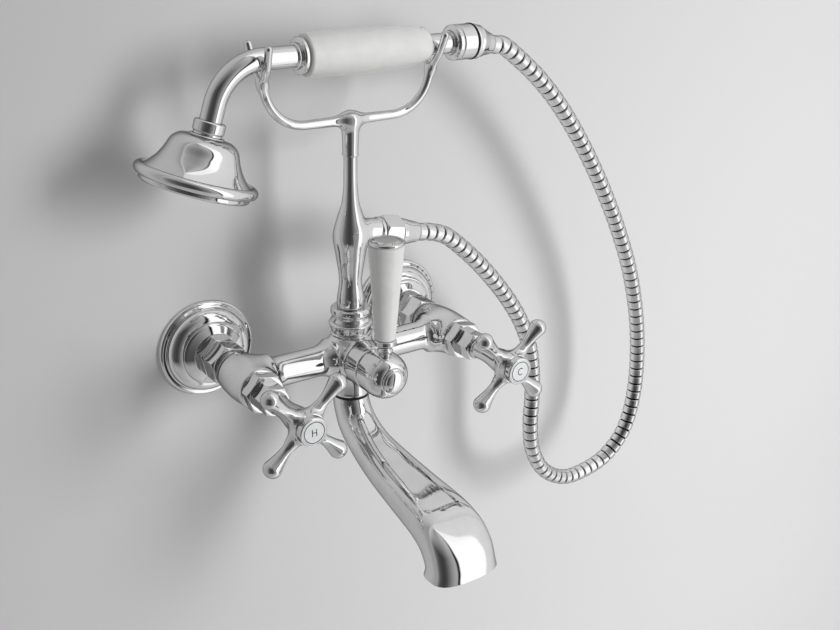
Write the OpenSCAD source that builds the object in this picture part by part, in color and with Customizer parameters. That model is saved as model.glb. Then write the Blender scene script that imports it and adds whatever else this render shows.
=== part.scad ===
// Wall-mounted bath shower mixer: two quarter-turn valves, a lever diverter, a swivelling spout,
// a riser column with a cradle, and a hand shower on a ribbed metal hose.
// The origin lies midway between the inlets on the wall face, +Y runs into the wall and +Z is up.

/* [Layout] */
// Distance between the two inlet centres
inlet_centres = 150; // [140:1:160]
// Distance from the wall to the axis of the cross arm and the column
axis_depth = 59; // [56:1:66]

/* [Wall fittings] */
// Outer radius of a wall flange
flange_r = 32.5; // [30:0.5:38]
// Height of a wall flange from the wall to its union nut
flange_h = 15.3; // [13:0.1:18]
// Outer radius of the half-inch pipe thread on a wall tail
tail_r = 10.48; // [10:0.02:11]
// Length of thread that enters the wall
tail_len = 14; // [10:1:25]
// Radius of the waterway through the inlets
waterway_r = 6.5; // [5:0.1:6.8]
// Width across the flats of a union nut
union_af = 24; // [23.5:0.5:28]
// Length of a union nut
union_len = 21.5; // [19:0.5:23]

/* [Body] */
// Largest radius of a valve leg
leg_r = 14.4; // [13.8:0.1:16]
// Distance from the cross arm's axis to the front face of a valve leg
leg_front = 18; // [17:0.5:22]
// Radius of the cross arm
arm_r = 9.7; // [9:0.1:11]
// Radius of the hub where the column, arm and spout meet
hub_r = 15; // [14.5:0.1:17]
// Radius of the hub's neck under the riser nut and above the spout
hub_neck_r = 12; // [11.5:0.1:13]
// Height of the hub's top face above the cross arm's axis
hub_top = 14; // [13:0.5:18]
// Depth of the hub's bottom face below the cross arm's axis
hub_drop = 27.5; // [27:0.5:32]

/* [Valves] */
// Width across the flats of a valve bonnet
bonnet_af = 23; // [21:0.5:25]
// Height of a bonnet's hexagon
bonnet_h = 8; // [6:0.5:10]
// Width across the flats of a gland nut
gland_af = 17; // [16:0.5:19]
// Height of a gland nut
gland_h = 12; // [10:0.5:14]
// Radius of a valve spindle
spindle_r = 3.5; // [3:0.1:3.8]
// Thickness of each ceramic disc
disc_t = 2.6; // [2:0.1:3]

/* [Cross handles] */
// Distance from a handle's axis to the tip of an arm
handle_reach = 36; // [32:0.5:42]
// Radius of an arm where it is slimmest
handle_arm_r = 3.3; // [2.8:0.1:4]
// Radius of the swelling at an arm's end
handle_end_r = 5.7; // [5:0.1:6.5]
// Distance from the gland nut to the plane of the arms
handle_h = 37; // [34:0.5:42]
// Radius of an index cap
index_r = 9; // [8.5:0.1:10]
// Height of an index cap above its handle
index_h = 4.6; // [3.5:0.1:6]

/* [Diverter] */
// Radius of the diverter's barrel
barrel_r = 15; // [14:0.1:16]
// Distance from the cross arm's axis to the barrel's front edge
barrel_len = 30; // [27:0.5:34]
// Length of the turning dome on the barrel
dome_len = 20; // [18:0.5:24]
// Radius of the front button
button_r = 8.4; // [7.5:0.1:9]
// Radius of the lever's neck
lever_neck_r = 4; // [3.5:0.1:4.5]
// Length of the lever's porcelain grip
lever_len = 61.5; // [50:0.5:70]
// Radius of the lever's grip at its foot
lever_foot_r = 6.5; // [6:0.1:8]
// Radius of the lever's grip at its top
lever_top_r = 10.7; // [9:0.1:12]
// Height of the cap on the lever
lever_cap_h = 5; // [3:0.5:7]

/* [Column] */
// Radius of the riser nut at its ridge
riser_nut_r = 14.2; // [13:0.1:15]
// Height of the riser nut
riser_nut_h = 19; // [18:0.5:22]
// Radius of the column's foot above the nut
column_foot_r = 8.8; // [8.6:0.1:10]
// Radius of the column's waist
column_waist_r = 7.3; // [6.5:0.1:8]
// Radius of the column's bulge
column_bulge_r = 11.2; // [10.6:0.1:12.5]
// Radius of the column's neck
column_neck_r = 4.2; // [4:0.1:4.8]
// Height of the column from the nut to the cradle's socket
column_h = 98; // [90:1:115]
// Height of the hose outlet's root above the nut
outlet_rise = 50; // [46:0.5:54]
// Angle by which the hose outlet points below level
outlet_dip = 10; // [0:1:15]

/* [Cradle] */
// Radius of the cradle's arms
cradle_arm_r = 2.7; // [2.3:0.1:3.2]
// Radius of the bend at each end of the cradle's arms
cradle_bend_r = 27; // [20:0.5:30]
// Height of the cradle's socket up to the arms
socket_h = 22; // [18:0.5:26]
// Outer radius of the cradle's socket
socket_r = 5.6; // [5.4:0.1:6.5]
// Radius of a fork prong
prong_r = 2.2; // [2:0.1:2.6]
// Angle of a prong's lower part from upright
prong_lean = 34; // [30:0.5:38]
// Length of a prong's upper part
prong_tip_len = 11.6; // [8:0.2:18]

/* [Handset] */
// Radius of the handset's tube and of its rear neck
tube_r = 6.4; // [6.2:0.1:7]
// Radius of the bend above the rose
neck_bend_r = 33; // [28:0.5:38]
// Angle of the rose from level
rose_tilt = 18; // [10:1:30]
// Radius of the rose's rolled rim
rose_r = 35.5; // [33:0.5:42]
// Radius of the rim's roll
rim_r = 4; // [3:0.1:5]
// Height of the rose's bell from the collar to the middle of the rim
bell_h = 25.5; // [23:0.5:30]
// Radius of a spray hole
spray_r = 0.9; // [0.6:0.1:1.2]
// Rings of spray holes around the middle one
spray_rings = 4; // [2:1:4]
// Length of the porcelain grip
grip_len = 85.5; // [74:0.5:100]
// Distance from the column's axis to the front end of the grip
grip_front = 31.5; // [26:0.5:36]
// Largest radius of the porcelain grip
grip_r = 13.3; // [12.5:0.1:15]
// Radius of the ferrules on the grip
ferrule_r = 10.9; // [10:0.1:12]
// Radius of the hose nut on the handset
hose_nut_r = 11; // [10:0.1:12]
// Length of the hose nut on the handset
hose_nut_len = 15; // [13:0.5:18]
// Angle by which the hose leaves the handset below level
hose_dip = 10; // [0:1:15]

/* [Hose] */
// Outer diameter of the hose over its ribs
hose_d = 11.6; // [10:0.2:13]
// Inner diameter of the hose
hose_bore = 7; // [6:0.2:8]
// Number of ribs along the hose
hose_ribs = 110; // [60:1:120]

/* [Spout] */
// Outer radius of the spout's neck
spout_neck_r = 12; // [11.6:0.1:13]
// Reach of the spout's mouth from the column's axis
spout_reach = 124; // [110:1:140]
// Drop of the spout's mouth below the cross arm's axis
spout_drop = 95; // [88:0.5:108]
// Half the width of the spout's mouth
mouth_half_w = 23.4; // [21:0.2:26]
// Half the depth of the spout's mouth from front to back
mouth_half_d = 13.4; // [12.8:0.1:15]
// Wall of the spout
spout_wall = 2.2; // [1.6:0.1:3]

/* [Hidden] */

$fn = 48;
chrome = [0.80, 0.81, 0.82];
brass = [0.78, 0.62, 0.32];
porcelain = [0.95, 0.95, 0.93];
ceramic = [0.90, 0.88, 0.84];
seal_black = [0.08, 0.08, 0.08];

// Clearances: faces that seat, turning fits, gaps between parts that move apart
seat_gap = 0.1;
turn_gap = 0.05;
part_gap = 0.3;
// Smooth outlines take this many steps between two of their points
curve_steps = 4;
// Extra length of a cut beyond the face that it opens
past = 1;

hot = -1;
cold = 1;
half_centres = inlet_centres / 2;

// Inlet stack, as distances from the wall
rim_h = 2.4;
flange_ring_r = flange_r - 12.5;
nut_z0 = flange_h + seat_gap;
nut_z1 = nut_z0 + union_len;
nut_lip = 3.5;
thread_r = union_af / 2 - 1.7;
tail_neck_r = waterway_r + 1.7;
collar_z0 = nut_z0 + nut_lip + seat_gap;
collar_t = 3;
washer_t = 2;
spigot_z0 = collar_z0 + collar_t + washer_t;
leg_z0 = nut_z1 + seat_gap;
leg_z1 = axis_depth + leg_front;

// Valve stack, as distances from the wall
cavity_r = 9;
cage_r = 8;
chamber_r = cage_r - 1.4;
cartridge_len = 23;
seat_z = leg_z1 - cartridge_len;
seat_t = 1.6;
disc_r = chamber_r - turn_gap;
disc_z0 = seat_z + seat_t;
disc_z1 = disc_z0 + disc_t + turn_gap;
foot_z = disc_z1 + disc_t;
foot_t = 2.5;
chamber_z1 = foot_z + foot_t + part_gap;
bonnet_thread_z0 = leg_z1 - 8;
gland_z0 = leg_z1 + bonnet_h;
gland_z1 = gland_z0 + gland_h;
bonnet_neck_r = gland_af / 2 - 2.2;
gland_lip = 2.8;
seal_z = gland_z0 + 2;
seal_t = 2;
seal_r = spindle_r + 1.4;

// Handle, as distances from the wall
handle_z0 = gland_z1 + part_gap;
arm_z = gland_z1 + handle_h;
handle_z1 = arm_z + 2.5;
handle_neck_r = spindle_r + 2.6;
handle_hub_r = index_r + 1;
spindle_z1 = arm_z - 6;
screw_r = 2;
screw_head_r = 4.4;
screw_head_z = arm_z - 4;
screw_head_t = 3;
skirt_r = 6.4;
skirt_z = arm_z - 3;
enamel_r = index_r - 1.1;
enamel_t = 0.9;

// Diverter, as distances from the wall
dome_z0 = axis_depth + barrel_len + part_gap;
dome_z1 = dome_z0 + dome_len;
spool_r = 8.9;
spool_z0 = axis_depth - 11;
spool_z1 = axis_depth + barrel_len - 9;
retainer_r = barrel_r - 2.6;
spool_stem_r = 5;
spool_stem_z1 = dome_z0 + 14;
button_stud_r = 2.4;
button_h = 4.4;
lever_z = dome_z0 + 10;
lever_foot_z = barrel_r + 6;
lever_ferrule_h = 3.5;
lever_grip_z = lever_foot_z + lever_ferrule_h;
lever_rod_r = 2.4;

// Riser, as heights above the cross arm's axis
riser_thread_r = hub_neck_r - 1.7;
riser_thread_z = hub_top + 9;
riser_washer_t = 2;
column_flange_z = riser_thread_z + riser_washer_t;
column_flange_t = 3;
riser_nut_z0 = hub_top + seat_gap;
riser_nut_z1 = riser_nut_z0 + riser_nut_h;
column_stem_r = column_foot_r - 0.5;
riser_bore_r = 3;
tenon_r = column_neck_r - 0.9;
tenon_len = 15;
column_z1 = riser_nut_z1 + column_h;

// Hose outlet, as distances along its own dipping axis
outlet_z = riser_nut_z1 + outlet_rise;
outlet_boss_r = 9.3;
outlet_boss_s = column_bulge_r + 11;
outlet_thread_r = 6.4;
outlet_thread_len = 6;
outlet_nut_len = 13;
outlet_nut_af = 19;
outlet_nut_s = outlet_boss_s + seat_gap;
outlet_ferrule_s = outlet_nut_s + outlet_nut_len + seat_gap;
outlet_ferrule_len = 15;
outlet_end_s = outlet_ferrule_s + outlet_ferrule_len;

// Grip along X, and the forks that clear its rear end
grip_x0 = -grip_front;
grip_x1 = grip_x0 + grip_len;
fork_clear = 1.8;
fork_x = grip_x1 + fork_clear + prong_r;

// Cradle
cradle_z = column_z1 + socket_h;
bend_turn = 75;
fork_foot = 4.6;
bend_x = fork_x - fork_foot * cos(bend_turn) - cradle_bend_r * sin(bend_turn);
fork_z = cradle_z + cradle_bend_r * (1 - cos(bend_turn)) + fork_foot * sin(bend_turn);
prong_out = 5;
prong_tip_lean = prong_lean - 12.6;
rest_height = (tube_r + prong_r + part_gap) / sin(prong_lean);
prong_len = rest_height * cos(prong_lean) + 1.3;
prong_foot = 4;
grub_r = 1.5;
grub_z = column_z1 + 7;

// Handset axis: both rests lie in the forks
handset_z = fork_z + rest_height;
front_ferrule_len = 6.5;
front_ferrule_x0 = grip_x0 - front_ferrule_len;
tube_x0 = grip_x0 - front_ferrule_len / 2;
bend_start_x = -fork_x + 1.4;
bend_lap = 0.5;
bend_thin = 0.05;
core_r = tube_r - 1.4;
core_bore_r = core_r - 1.2;
rear_ring_len = 1.3;
rear_neck_x = grip_x1 + seat_gap + rear_ring_len;
hose_nut_x0 = fork_x + 14.3;
hose_nut_x1 = hose_nut_x0 + hose_nut_len;
rear_thread_r = tube_r + 1;
rear_thread_x1 = hose_nut_x1 - 5;
core_x0 = front_ferrule_x0 - 3;
core_x1 = rear_neck_x + 4;
nut_ring_t = 1.5;
hose_ferrule_x = hose_nut_x1 + nut_ring_t;
hose_ferrule_len = 15.5;

// Rose, along its own axis from the end of the bent tube
bend_sweep = 90 - rose_tilt;
neck_len = 9;
neck_x = bend_start_x - neck_bend_r * sin(bend_sweep) - neck_len * cos(bend_sweep);
neck_z = handset_z - neck_bend_r * (1 - cos(bend_sweep)) - neck_len * sin(bend_sweep);
collar_r = tube_r + 2.6;
collar_h = 8;
rim_s = collar_h + bell_h;
rim_ring_r = rose_r - rim_r;
shell_t = 1.6;
face_r = rim_ring_r - 1.6;
face_t = 2.4;
face_drop = 2.2;
face_s = rim_s + rim_r + face_drop;

// Hose route in the plane of the column: how far it hangs off the line between its two ends
hose_r = hose_d / 2;
hose_groove = 0.7;
outlet_end = [outlet_end_s * cos(outlet_dip), outlet_z - outlet_end_s * sin(outlet_dip)];
outlet_dir = [cos(outlet_dip), -sin(outlet_dip)];
handset_end = [hose_ferrule_x + hose_ferrule_len * cos(hose_dip),
               handset_z - hose_ferrule_len * sin(hose_dip)];
handset_dir = [cos(hose_dip), -sin(hose_dip)];
straight_end = 12;
hose_sag = [
    [24.3, -6.6], [37.9, -24], [54.3, -46.9], [72.6, -75.4], [85.8, -103.3], [93.5, -130.6],
    [95.8, -157], [95, -183.3], [92.7, -211.2], [94.5, -239], [105, -265.5], [124.4, -284],
    [145.7, -289.8], [166.9, -287.4], [182.6, -273.3], [187.6, -247.8], [184.5, -216],
    [175.7, -184.3], [161, -150.7], [140.7, -117.3], [117.8, -87], [93.9, -60], [69.4, -37.1],
    [46, -20.9], [24.7, -10.8]
];
hose_free = [
    for (i = [0 : len(hose_sag) - 1])
        let (along = i / (len(hose_sag) - 1))
        hose_sag[i] + (1 - along) * outlet_end + along * handset_end
];
hose_route = concat(
    [outlet_end, outlet_end + straight_end / 2 * outlet_dir, outlet_end + straight_end * outlet_dir],
    hose_free,
    [handset_end + straight_end * handset_dir, handset_end + straight_end / 2 * handset_dir,
     handset_end]
);

// Spout: its neck turns forward, runs out under a flat top and turns down to the mouth
slip_ring_t = 1.4;
spout_z0 = -hub_drop - part_gap - slip_ring_t;
spigot_r = 8;
spigot_len = 16;
spigot_bore_r = 5.2;
spout_ring_n = 24;
// Each station: reach and drop of the middle, lean of the path from straight down, half width,
// half height and squareness of the section
spout_stations = [
    [0, spout_z0, 0, spout_neck_r, spout_neck_r, 2],
    [1.4, spout_z0 - 7, 14, spout_neck_r, spout_neck_r, 2],
    [8.5, spout_z0 - 18, 44, spout_neck_r + 0.6, spout_neck_r - 0.6, 2.2],
    [24, -spout_drop + 39, 66, spout_neck_r + 1.6, spout_neck_r - 1.6, 2.5],
    [spout_reach - 77, -spout_drop + 32.7, 76, mouth_half_w - 7.4, mouth_half_d - 3.2, 2.9],
    [spout_reach - 50, -spout_drop + 28, 79, mouth_half_w - 5.2, mouth_half_d - 3, 3.2],
    [spout_reach - 25, -spout_drop + 24, 79, mouth_half_w - 3.2, mouth_half_d - 2.6, 3.4],
    [spout_reach - 11, -spout_drop + 19, 60, mouth_half_w - 2.2, mouth_half_d - 1.9, 3.4],
    [spout_reach - 3.5, -spout_drop + 12, 30, mouth_half_w - 1.6, mouth_half_d - 1.3, 3.2],
    [spout_reach - 0.5, -spout_drop + 5.5, 8, mouth_half_w - 1.2, mouth_half_d - 0.8, 3],
    [spout_reach, -spout_drop, 0, mouth_half_w, mouth_half_d, 2.9]
];

// A point on a smooth curve between b and c, with a and d as the points before and after
function between(a, b, c, d, t) =
    b + 0.5 * t * (c - a + t * (2 * a - 5 * b + 4 * c - d + t * (3 * (b - c) + d - a)));

// A smooth curve through every point of a list
function curve(p, steps = curve_steps) = [
    for (i = [0 : len(p) - 2], k = [0 : steps - 1])
        between(p[max(i - 1, 0)], p[i], p[i + 1], p[min(i + 2, len(p) - 1)], k / steps),
    p[len(p) - 1]
];

// A quarter of an ellipse from [r0, z0], where it runs along z, to [r1, z1]
function quarter(r0, z0, r1, z1, n = 6) = [
    for (i = [0 : n])
        [r1 + (r0 - r1) * cos(90 * i / n), z0 + (z1 - z0) * sin(90 * i / n)]
];

// Radius of a fillet of radius f that rises from base where u is 0
function fillet(base, f, u) = base + f - sqrt(f * f - u * u);

module revolve(points) {
    rotate_extrude() polygon(points);
}

module tube(r, bore, h) {
    difference() {
        cylinder(r = r, h = h);
        translate([0, 0, -past]) cylinder(r = bore, h = h + 2 * past);
    }
}

function path_dir(p, i) =
    let (d = p[min(i + 1, len(p) - 1)] - p[max(i - 1, 0)]) d / norm(d);

// Triangles between two rings of n points that start at a and b
function band(a, b, n) = [
    for (i = [0 : n - 1]) each [
        [a + i, a + (i + 1) % n, b + i],
        [a + (i + 1) % n, b + (i + 1) % n, b + i]
    ]
];

// A round rod along a path that lies square to side, with a radius at each point of the path
module rod(path, radii, side, n = 16) {
    rings = [
        for (i = [0 : len(path) - 1])
            let (across = cross(path_dir(path, i), side))
            [for (k = [0 : n - 1])
                path[i] + radii[i] * (cos(360 * k / n) * across + sin(360 * k / n) * side)]
    ];
    last = len(rings) - 1;
    polyhedron(
        points = [for (ring = rings) each ring],
        faces = concat(
            [[for (k = [n - 1 : -1 : 0]) k]],
            [for (k = [0 : last - 1]) each band(k * n, (k + 1) * n, n)],
            [[for (k = [0 : n - 1]) last * n + k]]
        ),
        convexity = 6
    );
}

// A hexagonal bar from z = 0 with turned corners at both ends
module hexagon(af, h, corner = 1) {
    tip = af / 2 / cos(30);
    intersection() {
        cylinder(r = tip, h = h, $fn = 6);
        revolve([[0, 0], [tip - corner, 0], [tip, corner], [tip, h - corner], [tip - corner, h], [0, h]]);
    }
}

// Axes that other pieces stand on
module from_wall(x) {
    translate([x, 0, 0]) rotate([90, 0, 0]) children();
}

module at_inlet(side) {
    from_wall(side * half_centres) children();
}

module on_column() {
    translate([0, -axis_depth, 0]) children();
}

module on_outlet() {
    translate([0, -axis_depth, outlet_z]) rotate([0, 90 + outlet_dip, 0]) children();
}

module on_handset(x) {
    translate([x, -axis_depth, handset_z]) rotate([0, 90, 0]) children();
}

module on_rose() {
    translate([neck_x, -axis_depth, neck_z]) rotate([0, 180 + rose_tilt, 0]) children();
}

module on_lever() {
    translate([0, -lever_z, 0]) children();
}

// Wall fittings

module flange() {
    bore = tail_r + seat_gap;
    dome_r = flange_r - 4.2;
    dome_z = rim_h + 1.3;
    ring_z = flange_h - 4.4;
    color(chrome)
    revolve(concat(
        [[bore, flange_h], [bore, flange_h - 3], [flange_ring_r - 4, flange_h - 5]],
        [[flange_r - 6, 1.8], [flange_r - 6, 0], [flange_r, 0], [flange_r, rim_h]],
        [[flange_r - 1, rim_h + 1]],
        quarter(dome_r, dome_z, flange_ring_r, ring_z),
        [[flange_ring_r + 0.7, ring_z + 0.3], [flange_ring_r + 0.7, ring_z + 1.5]],
        [[flange_ring_r - 0.6, ring_z + 2.4], [tail_r + 4, flange_h]]
    ));
}

module tail() {
    color(brass)
    revolve([
        [waterway_r, -tail_len], [tail_r - 1, -tail_len], [tail_r, 1 - tail_len],
        [tail_r, 0], [tail_r - part_gap, 0], [tail_r - part_gap, flange_h], [tail_neck_r, flange_h],
        [tail_neck_r, collar_z0],
        [thread_r, collar_z0], [thread_r, collar_z0 + collar_t], [waterway_r, collar_z0 + collar_t]
    ]);
}

module union_nut() {
    tip = union_af / 2 / cos(30);
    groove_z = union_len * 0.36;
    color(chrome)
    translate([0, 0, nut_z0])
    difference() {
        hexagon(union_af, union_len);
        translate([0, 0, groove_z])
        revolve([[tip - 1.1, 0], [tip + past, -past - 1.1], [tip + past, past + 1.1]]);
        translate([0, 0, -past]) cylinder(r = tail_neck_r + seat_gap, h = nut_lip + 2 * past);
        translate([0, 0, nut_lip]) cylinder(r = thread_r + seat_gap, h = union_len);
    }
}

module union_washers() {
    color(seal_black)
    for (side = [hot, cold])
        at_inlet(side)
        translate([0, 0, collar_z0 + collar_t]) tube(thread_r, waterway_r, washer_t);
}

// Cast body: two legs, the cross arm, the hub and the diverter's barrel, with their waterways

module leg() {
    revolve(concat(
        [[0, spigot_z0], [thread_r, spigot_z0], [thread_r, leg_z0]],
        curve([
            [thread_r + 1, leg_z0], [leg_r - 1.3, leg_z0 + 6], [leg_r - 0.2, axis_depth - 6],
            [leg_r, axis_depth + 3], [leg_r - 0.6, leg_z1 - 6], [leg_r - 0.9, leg_z1 - 1.4]
        ], 2),
        [[leg_r - 1.9, leg_z1], [0, leg_z1]]
    ));
}

module cross_arm() {
    hub_fillet = 17;
    leg_fillet = 10;
    root_r = hub_top - 0.9;
    hub_run = sqrt(pow(hub_fillet, 2) - pow(hub_fillet - root_r + arm_r, 2));
    leg_run = 7.5;
    hub_end = hub_r + 12.2;
    leg_end = half_centres - leg_r - 8;
    steps = 5;
    right = concat(
        [for (i = [steps : -1 : 1]) [fillet(arm_r, hub_fillet, hub_run * i / steps),
                                     hub_end - hub_run * i / steps]],
        [[arm_r, hub_end]],
        [for (i = [0 : steps]) [fillet(arm_r, leg_fillet, leg_run * i / steps),
                                leg_end + leg_run * i / steps]],
        [[fillet(arm_r, leg_fillet, leg_run), half_centres]]
    );
    left = [for (i = [len(right) - 1 : -1 : 0]) [right[i][0], -right[i][1]]];
    rotate([0, 90, 0])
    revolve(concat([[0, -half_centres]], left, right, [[0, half_centres]]));
}

module hub() {
    revolve(concat(
        [[0, riser_thread_z], [riser_thread_r, riser_thread_z], [riser_thread_r, hub_top]],
        [[hub_neck_r, hub_top], [hub_neck_r + 0.5, hub_top - 1], [hub_neck_r + 0.5, hub_top - 2.4]],
        curve([
            [hub_neck_r, hub_top - 3], [hub_r - 0.6, 5], [hub_r, 0], [hub_r - 0.8, -8],
            [hub_neck_r + 0.6, -16], [hub_neck_r, -hub_drop + 4], [hub_neck_r, -hub_drop + 1]
        ], 2),
        [[hub_neck_r - 1, -hub_drop], [0, -hub_drop]]
    ));
}

module mixer_body() {
    barrel_z1 = axis_depth + barrel_len;
    barrel_root_r = hub_top - 0.6;
    barrel_root_len = riser_nut_r + 0.6;
    color(chrome)
    difference() {
        union() {
            for (side = [hot, cold]) at_inlet(side) leg();
            on_column() cross_arm();
            on_column() hub();
            from_wall(0)
            translate([0, 0, axis_depth])
            revolve([[0, 0], [barrel_root_r, 0], [barrel_root_r, barrel_root_len],
                     [barrel_r, barrel_root_len + 2], [barrel_r, barrel_len - 0.8],
                     [barrel_r - 0.8, barrel_len], [0, barrel_len]]);
        }
        for (side = [hot, cold]) at_inlet(side) {
            translate([0, 0, spigot_z0 - past]) cylinder(r = waterway_r, h = leg_z1 - spigot_z0);
            translate([0, 0, seat_z]) cylinder(r = cavity_r, h = leg_z1 - seat_z + past);
        }
        on_column() {
            translate([-half_centres, 0, 0]) rotate([0, 90, 0]) cylinder(r = 4.6, h = inlet_centres);
            translate([0, 0, -hub_drop])
            cylinder(r = riser_bore_r + 1.6, h = hub_drop + riser_thread_z + past);
            translate([0, 0, -hub_drop - past])
            cylinder(r = spigot_r + turn_gap, h = spigot_len + part_gap + past);
        }
        from_wall(0) {
            translate([0, 0, spool_z0 - part_gap])
            cylinder(r = spool_r + turn_gap, h = spool_z1 - spool_z0 + 2 * part_gap);
            translate([0, 0, spool_z1 + part_gap])
            cylinder(r = retainer_r + seat_gap, h = barrel_z1 - spool_z1 + past);
        }
    }
}

// Quarter-turn valves

module bonnet() {
    color(chrome)
    difference() {
        union() {
            translate([0, 0, disc_z0]) cylinder(r = cage_r, h = leg_z1 - disc_z0);
            translate([0, 0, bonnet_thread_z0])
            cylinder(r = cavity_r - turn_gap, h = leg_z1 - bonnet_thread_z0);
            translate([0, 0, leg_z1]) hexagon(bonnet_af, bonnet_h);
            translate([0, 0, leg_z1]) cylinder(r = bonnet_neck_r, h = bonnet_h + gland_h - gland_lip);
        }
        translate([0, 0, disc_z0 - past]) cylinder(r = chamber_r, h = chamber_z1 - disc_z0 + past);
        translate([0, 0, disc_z0]) cylinder(r = spindle_r + turn_gap, h = gland_z1 - disc_z0);
        translate([0, 0, seal_z]) cylinder(r = seal_r, h = seal_t);
        for (turn = [0, 90])
            translate([0, 0, foot_z + foot_t / 2]) rotate([90, 0, turn])
            cylinder(r = 1, h = 2 * cavity_r, center = true);
    }
}

module gland_nut() {
    color(chrome)
    translate([0, 0, gland_z0])
    difference() {
        hexagon(gland_af, gland_h, 0.8);
        translate([0, 0, -past])
        cylinder(r = bonnet_neck_r + seat_gap, h = gland_h - gland_lip + past + seat_gap);
        cylinder(r = spindle_r + part_gap, h = gland_h + past);
    }
}

// A ceramic disc with one open quarter on each side of its middle
module disc() {
    difference() {
        cylinder(r = disc_r, h = disc_t);
        for (turn = [0, 180])
            rotate([0, 0, turn]) translate([disc_r * 0.55, 0, -past])
            cylinder(r = disc_r * 0.3, h = disc_t + 2 * past);
    }
}

module fixed_discs() {
    color(ceramic)
    for (side = [hot, cold]) at_inlet(side) translate([0, 0, disc_z0]) disc();
}

module seat_washers() {
    color(seal_black)
    for (side = [hot, cold])
        at_inlet(side) translate([0, 0, seat_z]) tube(cage_r, waterway_r - 1, seat_t);
}

module stem_seals() {
    color(seal_black)
    for (side = [hot, cold])
        at_inlet(side) translate([0, 0, seal_z]) tube(seal_r, spindle_r + turn_gap, seal_t);
}

module moving_disc() {
    color(ceramic) translate([0, 0, disc_z1]) rotate([0, 0, 90]) disc();
}

module spindle() {
    color(brass)
    difference() {
        union() {
            translate([0, 0, foot_z]) cylinder(r = chamber_r - part_gap, h = foot_t);
            translate([0, 0, foot_z]) cylinder(r = spindle_r, h = spindle_z1 - foot_z);
        }
        translate([0, 0, spindle_z1 - 10]) cylinder(r = screw_r, h = 10 + past);
    }
}

// One arm along +X: a slim waist that swells to a rounded end
module handle_arm() {
    swell = handle_reach - handle_end_r;
    waist = handle_reach * 0.48;
    root = handle_hub_r * 0.7;
    rotate([0, 90, 0])
    revolve(concat(
        [[0, root]],
        curve([
            [handle_arm_r + 2.4, root], [handle_arm_r + 1, (root + waist) * 0.5], [handle_arm_r, waist],
            [handle_arm_r + 0.8, (waist + swell) * 0.5], [handle_end_r, swell]
        ], 3),
        [for (a = [18 : 18 : 90]) [handle_end_r * cos(a), swell + handle_end_r * sin(a)]]
    ));
}

module cross_handle() {
    color(chrome)
    difference() {
        union() {
            revolve(concat(
                [[0, handle_z0], [handle_neck_r + 0.8, handle_z0], [handle_neck_r + 0.8, handle_z0 + 1.6]],
                curve([
                    [handle_neck_r, handle_z0 + 2.4], [handle_neck_r, handle_z0 + 12],
                    [handle_neck_r + 1.6, arm_z - 14], [handle_hub_r - 1.2, arm_z - 7],
                    [handle_hub_r, arm_z - 2]
                ], 3),
                [[handle_hub_r - 0.6, handle_z1], [0, handle_z1]]
            ));
            for (turn = [45 : 90 : 315])
                translate([0, 0, arm_z - handle_arm_r]) rotate([0, 0, turn]) handle_arm();
        }
        translate([0, 0, handle_z0 - past])
        cylinder(r = spindle_r + turn_gap, h = spindle_z1 - handle_z0 + past + seat_gap);
        translate([0, 0, spindle_z1 - past]) cylinder(r = screw_r + seat_gap, h = handle_h);
        translate([0, 0, screw_head_z - seat_gap]) cylinder(r = skirt_r + seat_gap, h = handle_h);
        translate([0, 0, handle_z1]) cylinder(r = handle_reach, h = handle_h);
    }
}

module handle_screw() {
    color(brass)
    difference() {
        union() {
            translate([0, 0, screw_head_z]) cylinder(r = screw_head_r, h = screw_head_t);
            translate([0, 0, spindle_z1 - 9])
            cylinder(r = screw_r - turn_gap, h = screw_head_z + 9 - spindle_z1);
        }
        translate([0, 0, screw_head_z + 1.4]) cylinder(r = 2, h = screw_head_t, $fn = 6);
    }
}

module index_cap() {
    top = handle_z1 + seat_gap + index_h;
    color(chrome)
    difference() {
        union() {
            translate([0, 0, handle_z1 + seat_gap])
            revolve(concat(
                [[0, 0], [index_r - 0.4, 0], [index_r, 0.4]],
                quarter(index_r, index_h - 1.1, index_r - 0.9, index_h, 3),
                [[0, index_h]]
            ));
            translate([0, 0, skirt_z]) cylinder(r = skirt_r, h = handle_z1 - skirt_z + 1);
        }
        translate([0, 0, skirt_z - past])
        cylinder(r = screw_head_r + part_gap, h = handle_z1 - skirt_z + past);
        translate([0, 0, top - enamel_t]) cylinder(r = enamel_r + seat_gap, h = enamel_t + past);
    }
}

module index_disc() {
    top = handle_z1 + seat_gap + index_h;
    color(porcelain)
    translate([0, 0, top - enamel_t])
    revolve([[0, 0], [enamel_r, 0], [enamel_r, enamel_t - 0.3], [enamel_r - 0.6, enamel_t], [0, enamel_t]]);
}

// Diverter: a turning spool in the barrel, moved by the dome and its lever

module diverter_retainer() {
    color(brass)
    from_wall(0)
    translate([0, 0, spool_z1 + part_gap])
    tube(retainer_r, spool_stem_r + turn_gap, axis_depth + barrel_len - spool_z1 - 2 * part_gap);
}

module diverter_spool() {
    groove = 2;
    color(brass)
    from_wall(0)
    difference() {
        union() {
            translate([0, 0, spool_z0]) cylinder(r = spool_r, h = spool_z1 - spool_z0);
            translate([0, 0, spool_z0]) cylinder(r = spool_stem_r, h = spool_stem_z1 - spool_z0);
        }
        for (z = [spool_z0 + 1.5, spool_z1 - 1.5 - groove])
            translate([0, 0, z]) tube(spool_r + past, spool_r - 1.4, groove);
        translate([0, 0, axis_depth]) rotate([90, 0, 0])
        cylinder(r = 4, h = 2 * spool_r + past, center = true);
        translate([0, 0, spool_stem_z1 - 9]) cylinder(r = button_stud_r + seat_gap, h = 9 + past);
    }
}

module diverter_seals() {
    groove = 2;
    color(seal_black)
    from_wall(0)
    for (z = [spool_z0 + 1.5, spool_z1 - 1.5 - groove])
        translate([0, 0, z]) tube(spool_r + turn_gap / 2, spool_r - 1.4, groove);
}

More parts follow.
